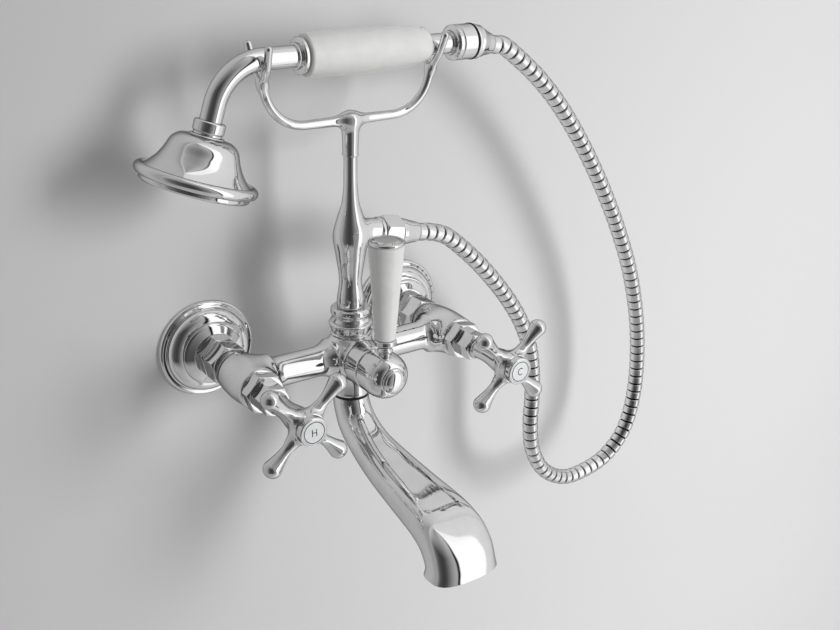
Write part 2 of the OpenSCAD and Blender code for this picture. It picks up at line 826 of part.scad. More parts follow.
module diverter_dome() {
    straight = dome_len * 0.42;
    color(chrome)
    difference() {
        from_wall(0)
        translate([0, 0, dome_z0])
        revolve(concat(
            [[0, 0], [barrel_r - 0.7, 0], [barrel_r - 0.1, 0.6]],
            quarter(barrel_r, straight, button_r - 0.6, dome_len, 8),
            [[0, dome_len]]
        ));
        from_wall(0) {
            translate([0, 0, dome_z0 - past])
            cylinder(r = spool_stem_r + turn_gap, h = spool_stem_z1 - dome_z0 + past + seat_gap);
            translate([0, 0, dome_z0]) cylinder(r = button_stud_r + seat_gap, h = dome_len + past);
        }
        on_lever()
        translate([0, 0, spool_stem_r + seat_gap]) cylinder(r = lever_neck_r + turn_gap, h = barrel_r);
    }
}

module diverter_button() {
    color(chrome)
    from_wall(0) {
        translate([0, 0, dome_z1 + seat_gap])
        revolve(concat(
            [[0, 0], [button_r, 0], [button_r, 1.2], [button_r - 0.7, 1.9]],
            quarter(button_r - 0.9, 1.9, 0, button_h, 6)
        ));
        translate([0, 0, spool_stem_z1 - 8]) cylinder(r = button_stud_r, h = dome_z1 + 1 - spool_stem_z1 + 8);
    }
}

module lever_stem() {
    color(chrome)
    on_lever()
    revolve(concat(
        [[0, spool_stem_r + 2 * seat_gap], [lever_neck_r, spool_stem_r + 2 * seat_gap]],
        curve([
            [lever_neck_r, barrel_r - 1], [lever_neck_r, barrel_r + 0.4],
            [lever_neck_r + 0.9, barrel_r + 1.9], [lever_neck_r, barrel_r + 3.6],
            [lever_neck_r + 0.4, lever_foot_z - 1.2], [lever_foot_r, lever_foot_z]
        ], 3),
        [[lever_foot_r + 0.5, lever_foot_z + 0.6], [lever_foot_r + 0.5, lever_grip_z - 0.6]],
        [[lever_foot_r, lever_grip_z], [lever_rod_r, lever_grip_z]],
        [[lever_rod_r, lever_grip_z + lever_len + 3], [0, lever_grip_z + lever_len + 3]]
    ));
}

module lever_grip() {
    bore = lever_rod_r + seat_gap;
    z0 = lever_grip_z + seat_gap;
    z1 = lever_grip_z + lever_len;
    color(porcelain)
    on_lever()
    revolve(concat(
        [[bore, z1], [bore, z0], [lever_foot_r - 0.6, z0]],
        curve([
            [lever_foot_r, z0 + 0.8], [(lever_foot_r + lever_top_r) * 0.5, z0 + lever_len * 0.5],
            [lever_top_r - 0.3, z1 - 6], [lever_top_r, z1 - 0.8]
        ]),
        [[lever_top_r - 0.7, z1]]
    ));
}

module lever_cap() {
    z0 = lever_grip_z + lever_len + seat_gap;
    r = lever_top_r;
    color(chrome)
    on_lever()
    difference() {
        translate([0, 0, z0])
        revolve(concat(
            [[0, 0], [r - 0.6, 0], [r, 0.6], [r, lever_cap_h * 0.36]],
            quarter(r - 0.8, lever_cap_h * 0.46, r * 0.6, lever_cap_h, 5),
            [[0, lever_cap_h]]
        ));
        translate([0, 0, z0 - past]) cylinder(r = lever_rod_r + seat_gap, h = 3 + past);
    }
}

// Riser: the nut clamps the column to the hub

module riser_nut() {
    ridge_z = riser_nut_z0 + riser_nut_h * 0.42;
    ring_r = riser_nut_r - 1.2;
    color(chrome)
    on_column()
    difference() {
        revolve(concat(
            [[0, riser_nut_z0], [ring_r - 0.2, riser_nut_z0], [ring_r, riser_nut_z0 + 0.5]],
            [[ring_r, riser_nut_z0 + 1.6], [ring_r - 0.7, riser_nut_z0 + 2.2]],
            [[ring_r - 0.3, riser_nut_z0 + 3], [riser_nut_r - 0.3, ridge_z - 0.8]],
            [[riser_nut_r, ridge_z], [riser_nut_r - 0.4, ridge_z + 0.8]],
            curve([
                [ring_r - 0.2, ridge_z + 2.4], [ring_r - 0.9, riser_nut_z1 - 6],
                [ring_r, riser_nut_z1 - 3.6], [ring_r - 0.3, riser_nut_z1 - 1]
            ], 3),
            [[ring_r - 1.2, riser_nut_z1], [0, riser_nut_z1]]
        ));
        translate([0, 0, riser_nut_z0 - past])
        cylinder(r = riser_thread_r + seat_gap,
                 h = column_flange_z + column_flange_t - riser_nut_z0 + past + seat_gap);
        translate([0, 0, riser_nut_z0]) cylinder(r = column_stem_r + seat_gap, h = riser_nut_h + past);
    }
}

module riser_washer() {
    color(seal_black)
    on_column()
    translate([0, 0, riser_thread_z]) tube(riser_thread_r, riser_bore_r + 1.6, riser_washer_t);
}

module riser_column() {
    foot = riser_nut_z1;
    upper = column_h - outlet_rise;
    color(chrome)
    difference() {
        union() {
            on_column()
            revolve(concat(
                [[0, column_flange_z], [riser_thread_r, column_flange_z]],
                [[riser_thread_r, column_flange_z + column_flange_t]],
                [[column_stem_r, column_flange_z + column_flange_t], [column_stem_r, foot + seat_gap]],
                curve([
                    [column_foot_r, foot + 0.6], [column_foot_r - 0.1, foot + outlet_rise * 0.12],
                    [column_waist_r, foot + outlet_rise * 0.36],
                    [column_bulge_r - 1.8, foot + outlet_rise * 0.68],
                    [column_bulge_r, foot + outlet_rise * 0.94],
                    [column_bulge_r - 2.8, outlet_z + upper * 0.19],
                    [column_neck_r + 1.4, outlet_z + upper * 0.38],
                    [column_neck_r + 0.3, outlet_z + upper * 0.58],
                    [column_neck_r, outlet_z + upper * 0.8], [column_neck_r, column_z1]
                ], 3),
                [[tenon_r, column_z1], [tenon_r, column_z1 + tenon_len], [0, column_z1 + tenon_len]]
            ));
            on_outlet() {
                cylinder(r1 = outlet_boss_r - 1.2, r2 = outlet_boss_r - 0.6, h = outlet_boss_s - 2.4);
                translate([0, 0, outlet_boss_s - 2.6]) cylinder(r = outlet_boss_r, h = 2.6);
                cylinder(r = outlet_thread_r, h = outlet_boss_s + outlet_thread_len);
            }
        }
        on_column()
        translate([0, 0, column_flange_z - past])
        cylinder(r = riser_bore_r, h = outlet_z - column_flange_z + past);
        on_outlet() cylinder(r = riser_bore_r, h = outlet_boss_s + outlet_thread_len + past);
    }
}

// Cradle: a socket, two level arms that bend up, and an open fork at each end

// Right half of the arms' middle line, from the socket to a fork's foot
arm_half = concat(
    [for (x = [4 : 4 : 12]) [x, 0, cradle_z]],
    [for (k = [0 : 8])
        let (a = bend_turn * k / 8)
        [bend_x + cradle_bend_r * sin(a), 0, cradle_z + cradle_bend_r * (1 - cos(a))]],
    [[fork_x, 0, fork_z]]
);
arm_line = concat(
    [for (i = [len(arm_half) - 1 : -1 : 0]) [-arm_half[i][0], 0, arm_half[i][2]]],
    [[0, 0, cradle_z]],
    arm_half
);
// Front half of a fork's middle line, from its foot to the tip
prong_half = [
    prong_foot * [0, -sin(prong_lean), cos(prong_lean)],
    prong_len * [0, -sin(prong_lean), cos(prong_lean)],
    prong_len * [0, -sin(prong_lean), cos(prong_lean)]
        + prong_tip_len * [0, -sin(prong_tip_lean), cos(prong_tip_lean)]
];
fork_line = curve(concat(
    [for (i = [2 : -1 : 0]) [0, -prong_half[i][1], prong_half[i][2]]],
    [[0, 0, prong_foot * 0.3]],
    prong_half
));

module forks() {
    for (side = [-1, 1])
        translate([side * fork_x, 0, fork_z]) rotate([0, side * prong_out, 0])
        rod(fork_line, [for (point = fork_line) prong_r], [1, 0, 0]);
}

module cradle() {
    color(chrome)
    on_column()
    difference() {
        union() {
            translate([0, 0, column_z1])
            revolve(concat(
                [[0, seat_gap], [socket_r - 0.5, seat_gap], [socket_r - 0.4, 1.4], [socket_r - 0.8, 1.8]],
                [[socket_r - 0.3, socket_h - 6], [socket_r, socket_h]],
                quarter(socket_r, socket_h, 0, socket_h + 4.6, 5)
            ));
            rod(arm_line, [for (p = arm_line) cradle_arm_r + 2 * max(0, 1 - abs(p[0]) / 14)], [0, 1, 0]);
            forks();
        }
        translate([0, 0, column_z1 - past]) cylinder(r = tenon_r + turn_gap, h = tenon_len + past + seat_gap);
        translate([0, 0, grub_z]) rotate([-90, 0, 0]) cylinder(r = grub_r + turn_gap, h = 2 * socket_r);
    }
}

module cradle_screw() {
    color(chrome)
    on_column()
    translate([0, 0, grub_z]) rotate([-90, 0, 0])
    difference() {
        translate([0, 0, tenon_r + seat_gap]) cylinder(r = grub_r, h = socket_r - tenon_r - 3 * seat_gap);
        translate([0, 0, socket_r - 1]) cylinder(r = 0.7, h = 2, $fn = 6);
    }
}

// Hose outlet on the column

module outlet_nut() {
    color(chrome)
    on_outlet()
    translate([0, 0, outlet_nut_s])
    difference() {
        hexagon(outlet_nut_af, outlet_nut_len, 0.9);
        translate([0, 0, -past]) cylinder(r = outlet_thread_r + seat_gap, h = outlet_nut_len + 2 * past);
    }
}

module outlet_washer() {
    color(seal_black)
    on_outlet()
    translate([0, 0, outlet_boss_s + outlet_thread_len]) tube(outlet_thread_r, riser_bore_r, washer_t);
}

module outlet_ferrule() {
    inner_s = outlet_boss_s + outlet_thread_len + washer_t;
    color(chrome)
    on_outlet()
    revolve([
        [riser_bore_r, inner_s], [outlet_thread_r, inner_s], [outlet_thread_r, outlet_ferrule_s],
        [outlet_nut_af / 2 - 1.2, outlet_ferrule_s], [outlet_nut_af / 2 - 0.6, outlet_ferrule_s + 0.8],
        [outlet_nut_af / 2 - 0.8, outlet_ferrule_s + 4], [hose_r + 1.4, outlet_end_s - 4],
        [hose_r + 0.9, outlet_end_s - 0.6], [hose_r + 0.3, outlet_end_s], [riser_bore_r, outlet_end_s]
    ]);
}

// Ribbed hose: one tube along the route, with its least gap to itself

function flat_length(p) = [
    for (i = 0, s = 0; i < len(p); s = s + (i + 1 < len(p) ? norm(p[i + 1] - p[i]) : 0), i = i + 1) s
];

hose_line = curve(hose_route, 10);
hose_run = flat_length(hose_line);
hose_length = hose_run[len(hose_run) - 1];
hose_x_at = [for (i = [0 : len(hose_line) - 1]) [hose_run[i], hose_line[i][0]]];
hose_z_at = [for (i = [0 : len(hose_line) - 1]) [hose_run[i], hose_line[i][1]]];
function hose_at(s) = [lookup(s, hose_x_at), lookup(s, hose_z_at)];
function hose_dir(s) =
    let (d = hose_at(min(s + 1, hose_length)) - hose_at(max(s - 1, 0))) d / norm(d);

// A ring of eight points around the route, square to it
function hose_ring(s, r) =
    let (c = hose_at(s), d = hose_dir(s))
    [for (a = [0 : 45 : 315])
        [c[0] - r * cos(a) * d[1], -axis_depth + r * sin(a), c[1] + r * cos(a) * d[0]]];

module hose() {
    n = 8;
    pitch = hose_length / hose_ribs;
    outer = concat(
        [hose_ring(0, hose_r)],
        [for (i = [0 : hose_ribs - 1]) each [
            hose_ring((i + 0.5) * pitch, hose_r),
            if (i < hose_ribs - 1) hose_ring((i + 1) * pitch, hose_r - hose_groove)
        ]],
        [hose_ring(hose_length, hose_r)]
    );
    inner = [for (i = [hose_ribs : -1 : 0]) hose_ring(i * pitch, hose_bore / 2)];
    rings = concat(outer, inner);
    last = len(rings) - 1;
    color(chrome)
    polyhedron(
        points = [for (ring = rings) each ring],
        faces = concat(
            [for (k = [0 : last - 1]) each band(k * n, (k + 1) * n, n)],
            band(last * n, 0, n)
        ),
        convexity = 8
    );
}

// Gap between stretches of the hose that lie further apart along it than six diameters
hose_probe = [for (s = [0 : hose_d : hose_length]) hose_at(s)];
hose_self_gap = min([
    for (i = [0 : len(hose_probe) - 1], k = [i + 6 : len(hose_probe) - 1])
        if (k > i && k < len(hose_probe)) norm(hose_probe[i] - hose_probe[k])
]) - hose_d;
echo(hose_length = hose_length, hose_self_gap = hose_self_gap);

// Spout

function spout_ring(s, wall) = [
    for (i = [0 : spout_ring_n - 1])
        let (
            a = -360 * i / spout_ring_n,
            e = 2 / s[5],
            u = sign(cos(a)) * pow(abs(cos(a)), e) * (s[3] - wall),
            v = sign(sin(a)) * pow(abs(sin(a)), e) * (s[4] - wall)
        )
        [u, -axis_depth - s[0] - v * cos(s[2]), s[1] + v * sin(s[2])]
];

module spout() {
    n = spout_ring_n;
    line = curve(spout_stations, 3);
    inner_start = 4;
    outer = [for (s = line) spout_ring(s, 0)];
    inner = [for (i = [len(line) - 1 : -1 : inner_start]) spout_ring(line[i], spout_wall)];
    rings = concat(outer, inner);
    last = len(rings) - 1;
    color(chrome)
    difference() {
        union() {
            polyhedron(
                points = [for (ring = rings) each ring],
                faces = concat(
                    [[for (i = [n - 1 : -1 : 0]) i]],
                    [for (k = [0 : last - 1]) each band(k * n, (k + 1) * n, n)],
                    [[for (i = [0 : n - 1]) last * n + i]]
                ),
                convexity = 8
            );
            on_column()
            translate([0, 0, spout_z0 - 2]) cylinder(r = spigot_r, h = -hub_drop + spigot_len - spout_z0 + 2);
        }
        for (z = spigot_grooves)
            on_column() translate([0, 0, z]) tube(spigot_r + past, spigot_r - 1.3, 2);
        on_column()
        translate([0, 0, spout_z0 - 16]) cylinder(r = spigot_bore_r, h = hub_drop + 16);
    }
}

spigot_grooves = [-hub_drop + 5, -hub_drop + 11];

module spout_seals() {
    color(seal_black)
    on_column() {
        for (z = spigot_grooves)
            translate([0, 0, z]) tube(spigot_r + turn_gap / 2, spigot_r - 1.3, 2);
        translate([0, 0, spout_z0]) tube(hub_neck_r - 0.5, spigot_r, slip_ring_t);
    }
}

// Hand shower

// The straight ends lap a little over the bend, which is drawn thinner
module bent_tube(r) {
    on_handset(bend_start_x - bend_lap) cylinder(r = r, h = tube_x0 - bend_start_x + bend_lap);
    translate([bend_start_x, -axis_depth, handset_z - neck_bend_r])
    rotate([90, 0, 0])
    rotate([0, 0, 90])
    rotate_extrude(angle = bend_sweep)
    translate([neck_bend_r, 0]) circle(r = r - bend_thin);
    on_rose()
    translate([0, 0, -neck_len - bend_lap])
    cylinder(r = r, h = neck_len + bend_lap + collar_h / 2);
}

module handset_tube() {
    color(chrome)
    difference() {
        bent_tube(tube_r);
        bent_tube(core_r + turn_gap);
    }
}

module rose_collar() {
    color(chrome)
    on_rose()
    difference() {
        revolve([
            [0, 0], [collar_r - 0.7, 0], [collar_r, 0.7], [collar_r, collar_h - 1.4],
            [collar_r - 0.6, collar_h - 0.8], [collar_r - 0.6, collar_h], [0, collar_h]
        ]);
        translate([0, 0, -past]) cylinder(r = tube_r + turn_gap, h = collar_h / 2 + past + turn_gap);
        cylinder(r = core_r, h = collar_h + past);
    }
}

module rose_shell() {
    outside = curve([
        [collar_r + 1.4, collar_h + 0.9], [collar_r + 6, collar_h + 1.7], [collar_r + 10, collar_h + 5],
        [collar_r + 12.6, collar_h + bell_h * 0.44], [collar_r + 16, collar_h + bell_h * 0.68],
        [rim_ring_r - 1, rim_s - rim_r * 0.5]
    ], 2);
    inside = [for (i = [len(outside) - 1 : -1 : 0]) outside[i] + [-shell_t, shell_t]];
    color(chrome)
    on_rose()
    difference() {
        union() {
            revolve(concat(
                [[core_r, collar_h + seat_gap], [collar_r + 0.6, collar_h + seat_gap]],
                outside,
                inside,
                [[core_r, collar_h + 2.4]]
            ));
            translate([0, 0, rim_s]) rotate_extrude() translate([rim_ring_r, 0]) circle(r = rim_r);
        }
        translate([0, 0, rim_s - 1]) cylinder(r = face_r + seat_gap, h = rim_r + 2);
    }
}

module rose_face() {
    hole_pitch = (face_r - 7) / spray_rings;
    color(chrome)
    on_rose()
    difference() {
        revolve([
            [0, face_s - face_t - 0.6], [face_r - 4, face_s - face_t], [face_r - 3, rim_s - 0.9],
            [face_r, rim_s - 0.9], [face_r, face_s - 1], [face_r - 1, face_s], [0, face_s + 0.8]
        ]);
        for (ring = [0 : spray_rings], i = [0 : max(ring * 6 - 1, 0)])
            rotate([0, 0, ring == 0 ? 0 : 60 * i / ring])
            translate([ring * hole_pitch, 0, face_s - face_t - 2]) cylinder(r = spray_r, h = face_t + 4);
    }
}

module front_ferrule() {
    color(chrome)
    on_handset(front_ferrule_x0)
    difference() {
        revolve([
            [0, 0], [tube_r + 1, 0], [tube_r + 1.4, 0.4], [tube_r + 1.4, 1.5], [tube_r + 0.8, 1.9],
            [ferrule_r - 0.6, 2.3], [ferrule_r, 3.1], [ferrule_r, front_ferrule_len - 1.6],
            [ferrule_r - 0.8, front_ferrule_len - 0.8], [ferrule_r - 1, front_ferrule_len - seat_gap],
            [0, front_ferrule_len - seat_gap]
        ]);
        translate([0, 0, -past]) cylinder(r = tube_r + turn_gap, h = front_ferrule_len / 2 + past);
        cylinder(r = core_r + turn_gap, h = front_ferrule_len + past);
    }
}

module handle_grip() {
    bore = core_r + seat_gap;
    color(porcelain)
    on_handset(grip_x0)
    revolve(concat(
        [[bore, grip_len], [bore, 0], [grip_r - 1.6, 0]],
        curve([
            [grip_r - 0.9, 0.9], [grip_r - 0.2, grip_len * 0.2], [grip_r, grip_len * 0.38],
            [grip_r - 0.4, grip_len * 0.68], [grip_r - 1.7, grip_len * 0.88], [grip_r - 3.4, grip_len - 2.4]
        ]),
        [[grip_r - 4, grip_len - 0.8], [grip_r - 4.8, grip_len]]
    ));
}

module grip_core() {
    color(brass) on_handset(core_x0) tube(core_r, core_bore_r, core_x1 - core_x0);
}

module rear_ferrule() {
    x0 = grip_x1 + seat_gap;
    neck = rear_neck_x - x0;
    thread = hose_nut_x0 - x0;
    end = rear_thread_x1 - x0;
    color(chrome)
    on_handset(x0)
    difference() {
        revolve([
            [0, 0], [tube_r + 1.2, 0], [tube_r + 1.6, 0.4], [tube_r + 1.6, neck - 0.3], [tube_r + 1.2, neck],
            [tube_r, neck], [tube_r, thread - 1], [rear_thread_r, thread - 1], [rear_thread_r, end], [0, end]
        ]);
        translate([0, 0, -past]) cylinder(r = core_r + turn_gap, h = core_x1 - x0 + past + seat_gap);
        cylinder(r = core_bore_r, h = end + past);
    }
}

module hose_nut() {
    color(chrome)
    on_handset(hose_nut_x0)
    difference() {
        revolve([
            [0, 0], [hose_nut_r - 2.2, 0], [hose_nut_r - 1.2, 0.4], [hose_nut_r, 1.6],
            [hose_nut_r, hose_nut_len - 0.3], [hose_nut_r - 0.3, hose_nut_len], [0, hose_nut_len]
        ]);
        translate([0, 0, -past]) cylinder(r = rear_thread_r + seat_gap, h = hose_nut_len + 2 * past);
    }
}

module hose_washer() {
    color(seal_black) on_handset(rear_thread_x1) tube(rear_thread_r, core_bore_r, washer_t);
}

module nut_ring() {
    color(seal_black)
    on_handset(hose_nut_x1)
    tube(hose_nut_r, rear_thread_r + seat_gap, nut_ring_t - seat_gap);
}

module hose_ferrule() {
    inner_x = rear_thread_x1 + washer_t;
    end = hose_ferrule_len;
    bore = core_bore_r - 0.8;
    ball_r = hose_nut_r - 0.2;
    back = ball_r * sin(hose_dip) + seat_gap;
    knuckle_r = sqrt(ball_r * ball_r - back * back);
    color(chrome)
    on_handset(0)
    difference() {
        union() {
            translate([0, 0, inner_x]) cylinder(r = rear_thread_r, h = hose_ferrule_x - inner_x + 1);
            translate([0, 0, hose_ferrule_x]) difference() {
                sphere(r = ball_r);
                translate([0, 0, -2 * ball_r]) cylinder(r = 2 * ball_r, h = 2 * ball_r);
            }
            translate([0, 0, hose_ferrule_x]) rotate([0, hose_dip, 0])
            revolve([
                [0, back], [knuckle_r, back], [knuckle_r, 4.4], [hose_r + 2.4, 10],
                [hose_r + 0.9, end - 0.6], [hose_r + 0.3, end], [0, end]
            ]);
        }
        translate([0, 0, inner_x - past]) cylinder(r = bore, h = hose_ferrule_x - inner_x + past);
        translate([0, 0, hose_ferrule_x]) sphere(r = bore + 0.4);
        translate([0, 0, hose_ferrule_x]) rotate([0, hose_dip, 0]) cylinder(r = bore, h = end + past);
    }
}

// Hot and cold sets of the fittings

module wall_flange_hot() { at_inlet(hot) flange(); }
module wall_flange_cold() { at_inlet(cold) flange(); }
module wall_tail_hot() { at_inlet(hot) tail(); }
module wall_tail_cold() { at_inlet(cold) tail(); }
module union_nut_hot() { at_inlet(hot) union_nut(); }
module union_nut_cold() { at_inlet(cold) union_nut(); }
module valve_bonnet_hot() { at_inlet(hot) bonnet(); }
module valve_bonnet_cold() { at_inlet(cold) bonnet(); }
module gland_nut_hot() { at_inlet(hot) gland_nut(); }
module gland_nut_cold() { at_inlet(cold) gland_nut(); }
module spindle_hot() { at_inlet(hot) spindle(); }
module spindle_cold() { at_inlet(cold) spindle(); }
module moving_disc_hot() { at_inlet(hot) moving_disc(); }
module moving_disc_cold() { at_inlet(cold) moving_disc(); }
module cross_handle_hot() { at_inlet(hot) cross_handle(); }
module cross_handle_cold() { at_inlet(cold) cross_handle(); }
module handle_screw_hot() { at_inlet(hot) handle_screw(); }
module handle_screw_cold() { at_inlet(cold) handle_screw(); }
module index_cap_hot() { at_inlet(hot) index_cap(); }
module index_cap_cold() { at_inlet(cold) index_cap(); }
module index_disc_hot() { at_inlet(hot) index_disc(); }
module index_disc_cold() { at_inlet(cold) index_disc(); }

mixer_body();
wall_flange_hot();
wall_flange_cold();
wall_tail_hot();
wall_tail_cold();
union_nut_hot();
union_nut_cold();
union_washers();
valve_bonnet_hot();
valve_bonnet_cold();
gland_nut_hot();
gland_nut_cold();
fixed_discs();
seat_washers();
stem_seals();
spindle_hot();
spindle_cold();
moving_disc_hot();
moving_disc_cold();
cross_handle_hot();
cross_handle_cold();
handle_screw_hot();
handle_screw_cold();
index_cap_hot();
index_cap_cold();
index_disc_hot();
index_disc_cold();
diverter_retainer();
diverter_spool();
diverter_seals();
diverter_dome();
diverter_button();
lever_stem();
lever_grip();
lever_cap();
riser_nut();
riser_washer();
riser_column();
cradle();
cradle_screw();
outlet_nut();
outlet_washer();
outlet_ferrule();
hose();
spout();
spout_seals();
handset_tube();
rose_collar();
rose_shell();
rose_face();
front_ferrule();
handle_grip();
grip_core();
rear_ferrule();
hose_nut();
hose_washer();
nut_ring();
hose_ferrule();
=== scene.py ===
"""Dress the wall-mounted bath shower mixer in its plated, glazed and enamelled finishes.

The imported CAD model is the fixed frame. Each sub-assembly below builds its visible surfaces
around that frame in millimetres, places them in metres and dresses them in a finish.
"""

import logging
import math
from dataclasses import dataclass
from enum import Enum
from typing import Any, Callable, Optional, Sequence, Union

import bpy
import numpy as np
from mathutils import Matrix, Vector


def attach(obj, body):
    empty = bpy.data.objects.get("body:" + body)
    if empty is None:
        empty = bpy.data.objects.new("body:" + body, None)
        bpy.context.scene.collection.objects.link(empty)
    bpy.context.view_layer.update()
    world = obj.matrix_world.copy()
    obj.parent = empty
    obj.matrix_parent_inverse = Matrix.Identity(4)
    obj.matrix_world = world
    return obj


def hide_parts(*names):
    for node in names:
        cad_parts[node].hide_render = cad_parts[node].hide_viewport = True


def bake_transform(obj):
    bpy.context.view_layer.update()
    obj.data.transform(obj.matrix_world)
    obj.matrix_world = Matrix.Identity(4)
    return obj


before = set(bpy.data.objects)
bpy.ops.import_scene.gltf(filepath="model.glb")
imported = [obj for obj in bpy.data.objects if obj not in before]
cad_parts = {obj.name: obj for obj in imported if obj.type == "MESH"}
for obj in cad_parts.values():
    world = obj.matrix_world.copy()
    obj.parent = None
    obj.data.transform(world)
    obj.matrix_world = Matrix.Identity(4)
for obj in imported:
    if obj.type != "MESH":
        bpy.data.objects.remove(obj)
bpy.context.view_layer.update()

logging.basicConfig(level=logging.INFO, format="%(name)s: %(message)s")
LOG = logging.getLogger("bath_mixer")

MM = 0.001
# A distance beyond every size here, in millimetres
FAR = 1e9
PHOTO_WIDTH_PX = 840

# Places and sizes that several sub-assemblies share, in millimetres and degrees
AXIS_DEPTH = 59.0
INLET_X = 75.0
BARREL_R = 15.0
OUTLET_Z = 83.1
COLUMN_TOP = 131.1
HANDSET_Z = 193.471
HOSE_D = 11.6
HOSE_DIP_DEG = 10.0
HOSE_TURNS = 110

Field = Callable[[np.ndarray], np.ndarray]
Outline = Sequence[Sequence[float]]


class Body(Enum):
    """The bodies that move apart."""

    MIXER = "mixer"
    HOT_HANDLE = "hot_handle"
    COLD_HANDLE = "cold_handle"
    DIVERTER = "diverter"
    SPOUT = "spout"
    HANDSET = "handset"


class Side(Enum):
    """The two supplies, by the direction of their inlet along X."""

    HOT = -1
    COLD = 1

    @property
    def label(self) -> str:
        """The supply's name as it ends a piece's name."""
        return self.name.lower()

    @property
    def handle_body(self) -> Body:
        """The body of this supply's handle."""
        return Body.HOT_HANDLE if self is Side.HOT else Body.COLD_HANDLE


# Finishes


def linear(hex_colour: str) -> tuple[float, float, float, float]:
    """Turn an sRGB hex colour into linear RGBA.

    Args:
        hex_colour: six hex digits after a hash.

    Returns:
        The linear colour with full alpha.
    """
    srgb = np.array([int(hex_colour[k:k + 2], 16) / 255 for k in (1, 3, 5)])
    rgb = np.where(srgb <= 0.04045, srgb / 12.92, ((srgb + 0.055) / 1.055) ** 2.4)
    return (*(float(c) for c in rgb), 1.0)


def add_node(
    tree: bpy.types.NodeTree,
    kind: str,
    settings: Optional[dict[Union[str, int], Any]] = None,
    links: Optional[dict[Union[str, int], bpy.types.NodeSocket]] = None,
) -> bpy.types.Node:
    """Add one node with its settings and links.

    Args:
        tree: the node tree that takes the node.
        kind: the node's type name.
        settings: values of sockets, by name or number, or of the node's own properties.
        links: sockets to link from, by the input that each one feeds.

    Returns:
        The new node.
    """
    node = tree.nodes.new(kind)
    for key, value in (settings or {}).items():
        if isinstance(key, int) or key in node.inputs:
            node.inputs[key].default_value = value
        else:
            setattr(node, key, value)
    for key, source in (links or {}).items():
        tree.links.new(source, node.inputs[key])
    return node


def per_metre(feature_mm: float) -> float:
    """Scale of a texture in Object coordinates whose features are this many millimetres across."""
    return 1 / (feature_mm * MM)


@dataclass(frozen=True)
class Finish:
    """One real finish: its colours, its gloss and the small relief that breaks its reflections."""

    name: str
    colour: str
    tint: str
    roughness: tuple[float, float]
    mottle_mm: float
    relief_mm: float
    relief_depth_mm: float
    relief_strength: float
    metallic: float = 0.0
    ior: float = 1.5
    coat: float = 0.0
    edge: str = "#FFFFFF"

    def material(self) -> bpy.types.Material:
        """Build the procedural material.

        A broad noise moves the colour between its two tones and the roughness between its two
        limits, and a finer noise lifts the surface by a few hundredths of a millimetre.

        Returns:
            The material, named for the finish.
        """
        made = bpy.data.materials.new(self.name)
        made.use_nodes = True
        tree = made.node_tree
        tree.nodes.clear()
        place = add_node(tree, "ShaderNodeTexCoord").outputs["Object"]
        mottle = add_node(
            tree, "ShaderNodeTexNoise",
            {"Scale": per_metre(self.mottle_mm), "Detail": 4.0, "Roughness": 0.55}, {"Vector": place},
        ).outputs["Fac"]
        relief = add_node(
            tree, "ShaderNodeTexNoise",
            {"Scale": per_metre(self.relief_mm), "Detail": 2.0}, {"Vector": place},
        ).outputs["Fac"]
        tones = add_node(tree, "ShaderNodeValToRGB", links={"Fac": mottle})
        tones.color_ramp.elements[0].position = 0.35
        tones.color_ramp.elements[0].color = linear(self.tint)
        tones.color_ramp.elements[1].position = 0.65
        tones.color_ramp.elements[1].color = linear(self.colour)
        gloss = add_node(
            tree, "ShaderNodeMapRange",
            {"From Min": 0.3, "From Max": 0.7, "To Min": self.roughness[0], "To Max": self.roughness[1]},
            {"Value": mottle},
        )
        bump = add_node(
            tree, "ShaderNodeBump",
            {"Strength": self.relief_strength, "Distance": self.relief_depth_mm * MM},
            {"Height": relief},
        )
        settings = {"Metallic": self.metallic, "Coat Weight": self.coat, "Specular Tint": linear(self.edge)}
        if self.metallic == 0:
            settings["IOR"] = self.ior
        surface = add_node(
            tree, "ShaderNodeBsdfPrincipled", settings,
            {"Base Color": self.with_groove_shade(tree, tones.outputs["Color"]), "Roughness": gloss.outputs["Result"],
             "Normal": bump.outputs["Normal"]},
        )
        add_node(tree, "ShaderNodeOutputMaterial", links={"Surface": surface.outputs["BSDF"]})
        return made

    def shared(self) -> bpy.types.Material:
        """The finish's one material, built at its first use."""
        return bpy.data.materials.get(self.name) or self.material()

    def with_groove_shade(self, tree: bpy.types.NodeTree, colour: bpy.types.NodeSocket) -> bpy.types.NodeSocket:
        """The colour as it is, because most finishes have no painted groove shade."""
        return colour


@dataclass(frozen=True)
class WoundFinish(Finish):
    """A finish on wound strip, with painted shade darkening the groove between its turns."""

    turns: int = HOSE_TURNS
    # Painted shade in the groove between turns: its share of a turn and its colour
    groove_shade_share: float = 0.15
    groove_shade_colour: str = "#060607"

    def with_groove_shade(self, tree: bpy.types.NodeTree, colour: bpy.types.NodeSocket) -> bpy.types.NodeSocket:
        """Paint shade into the groove, which lies at every whole number of V times the turns.

        Args:
            tree: the material's node tree.
            colour: the strip's own colour.

        Returns:
            The colour with its painted groove shade.
        """
        winding = add_node(tree, "ShaderNodeTexCoord").outputs["UV"]
        along = add_node(tree, "ShaderNodeSeparateXYZ", links={"Vector": winding}).outputs["Y"]
        turn = add_node(tree, "ShaderNodeMath", {"operation": "MULTIPLY", 1: self.turns}, {0: along})
        away = add_node(
            tree, "ShaderNodeMath", {"operation": "PINGPONG", 1: 0.5}, {0: turn.outputs["Value"]})
        # Mask of the painted groove shade: nought in the groove, one on the face of the turn
        strip = add_node(
            tree, "ShaderNodeMapRange",
            {"From Min": 0.4 * self.groove_shade_share, "From Max": 0.6 * self.groove_shade_share},
            {"Value": away.outputs["Value"]},
        )
        mixed = add_node(tree, "ShaderNodeMix", {"data_type": "RGBA", 6: linear(self.groove_shade_colour)},
                         {0: strip.outputs["Result"], 7: colour})
        return mixed.outputs[2]


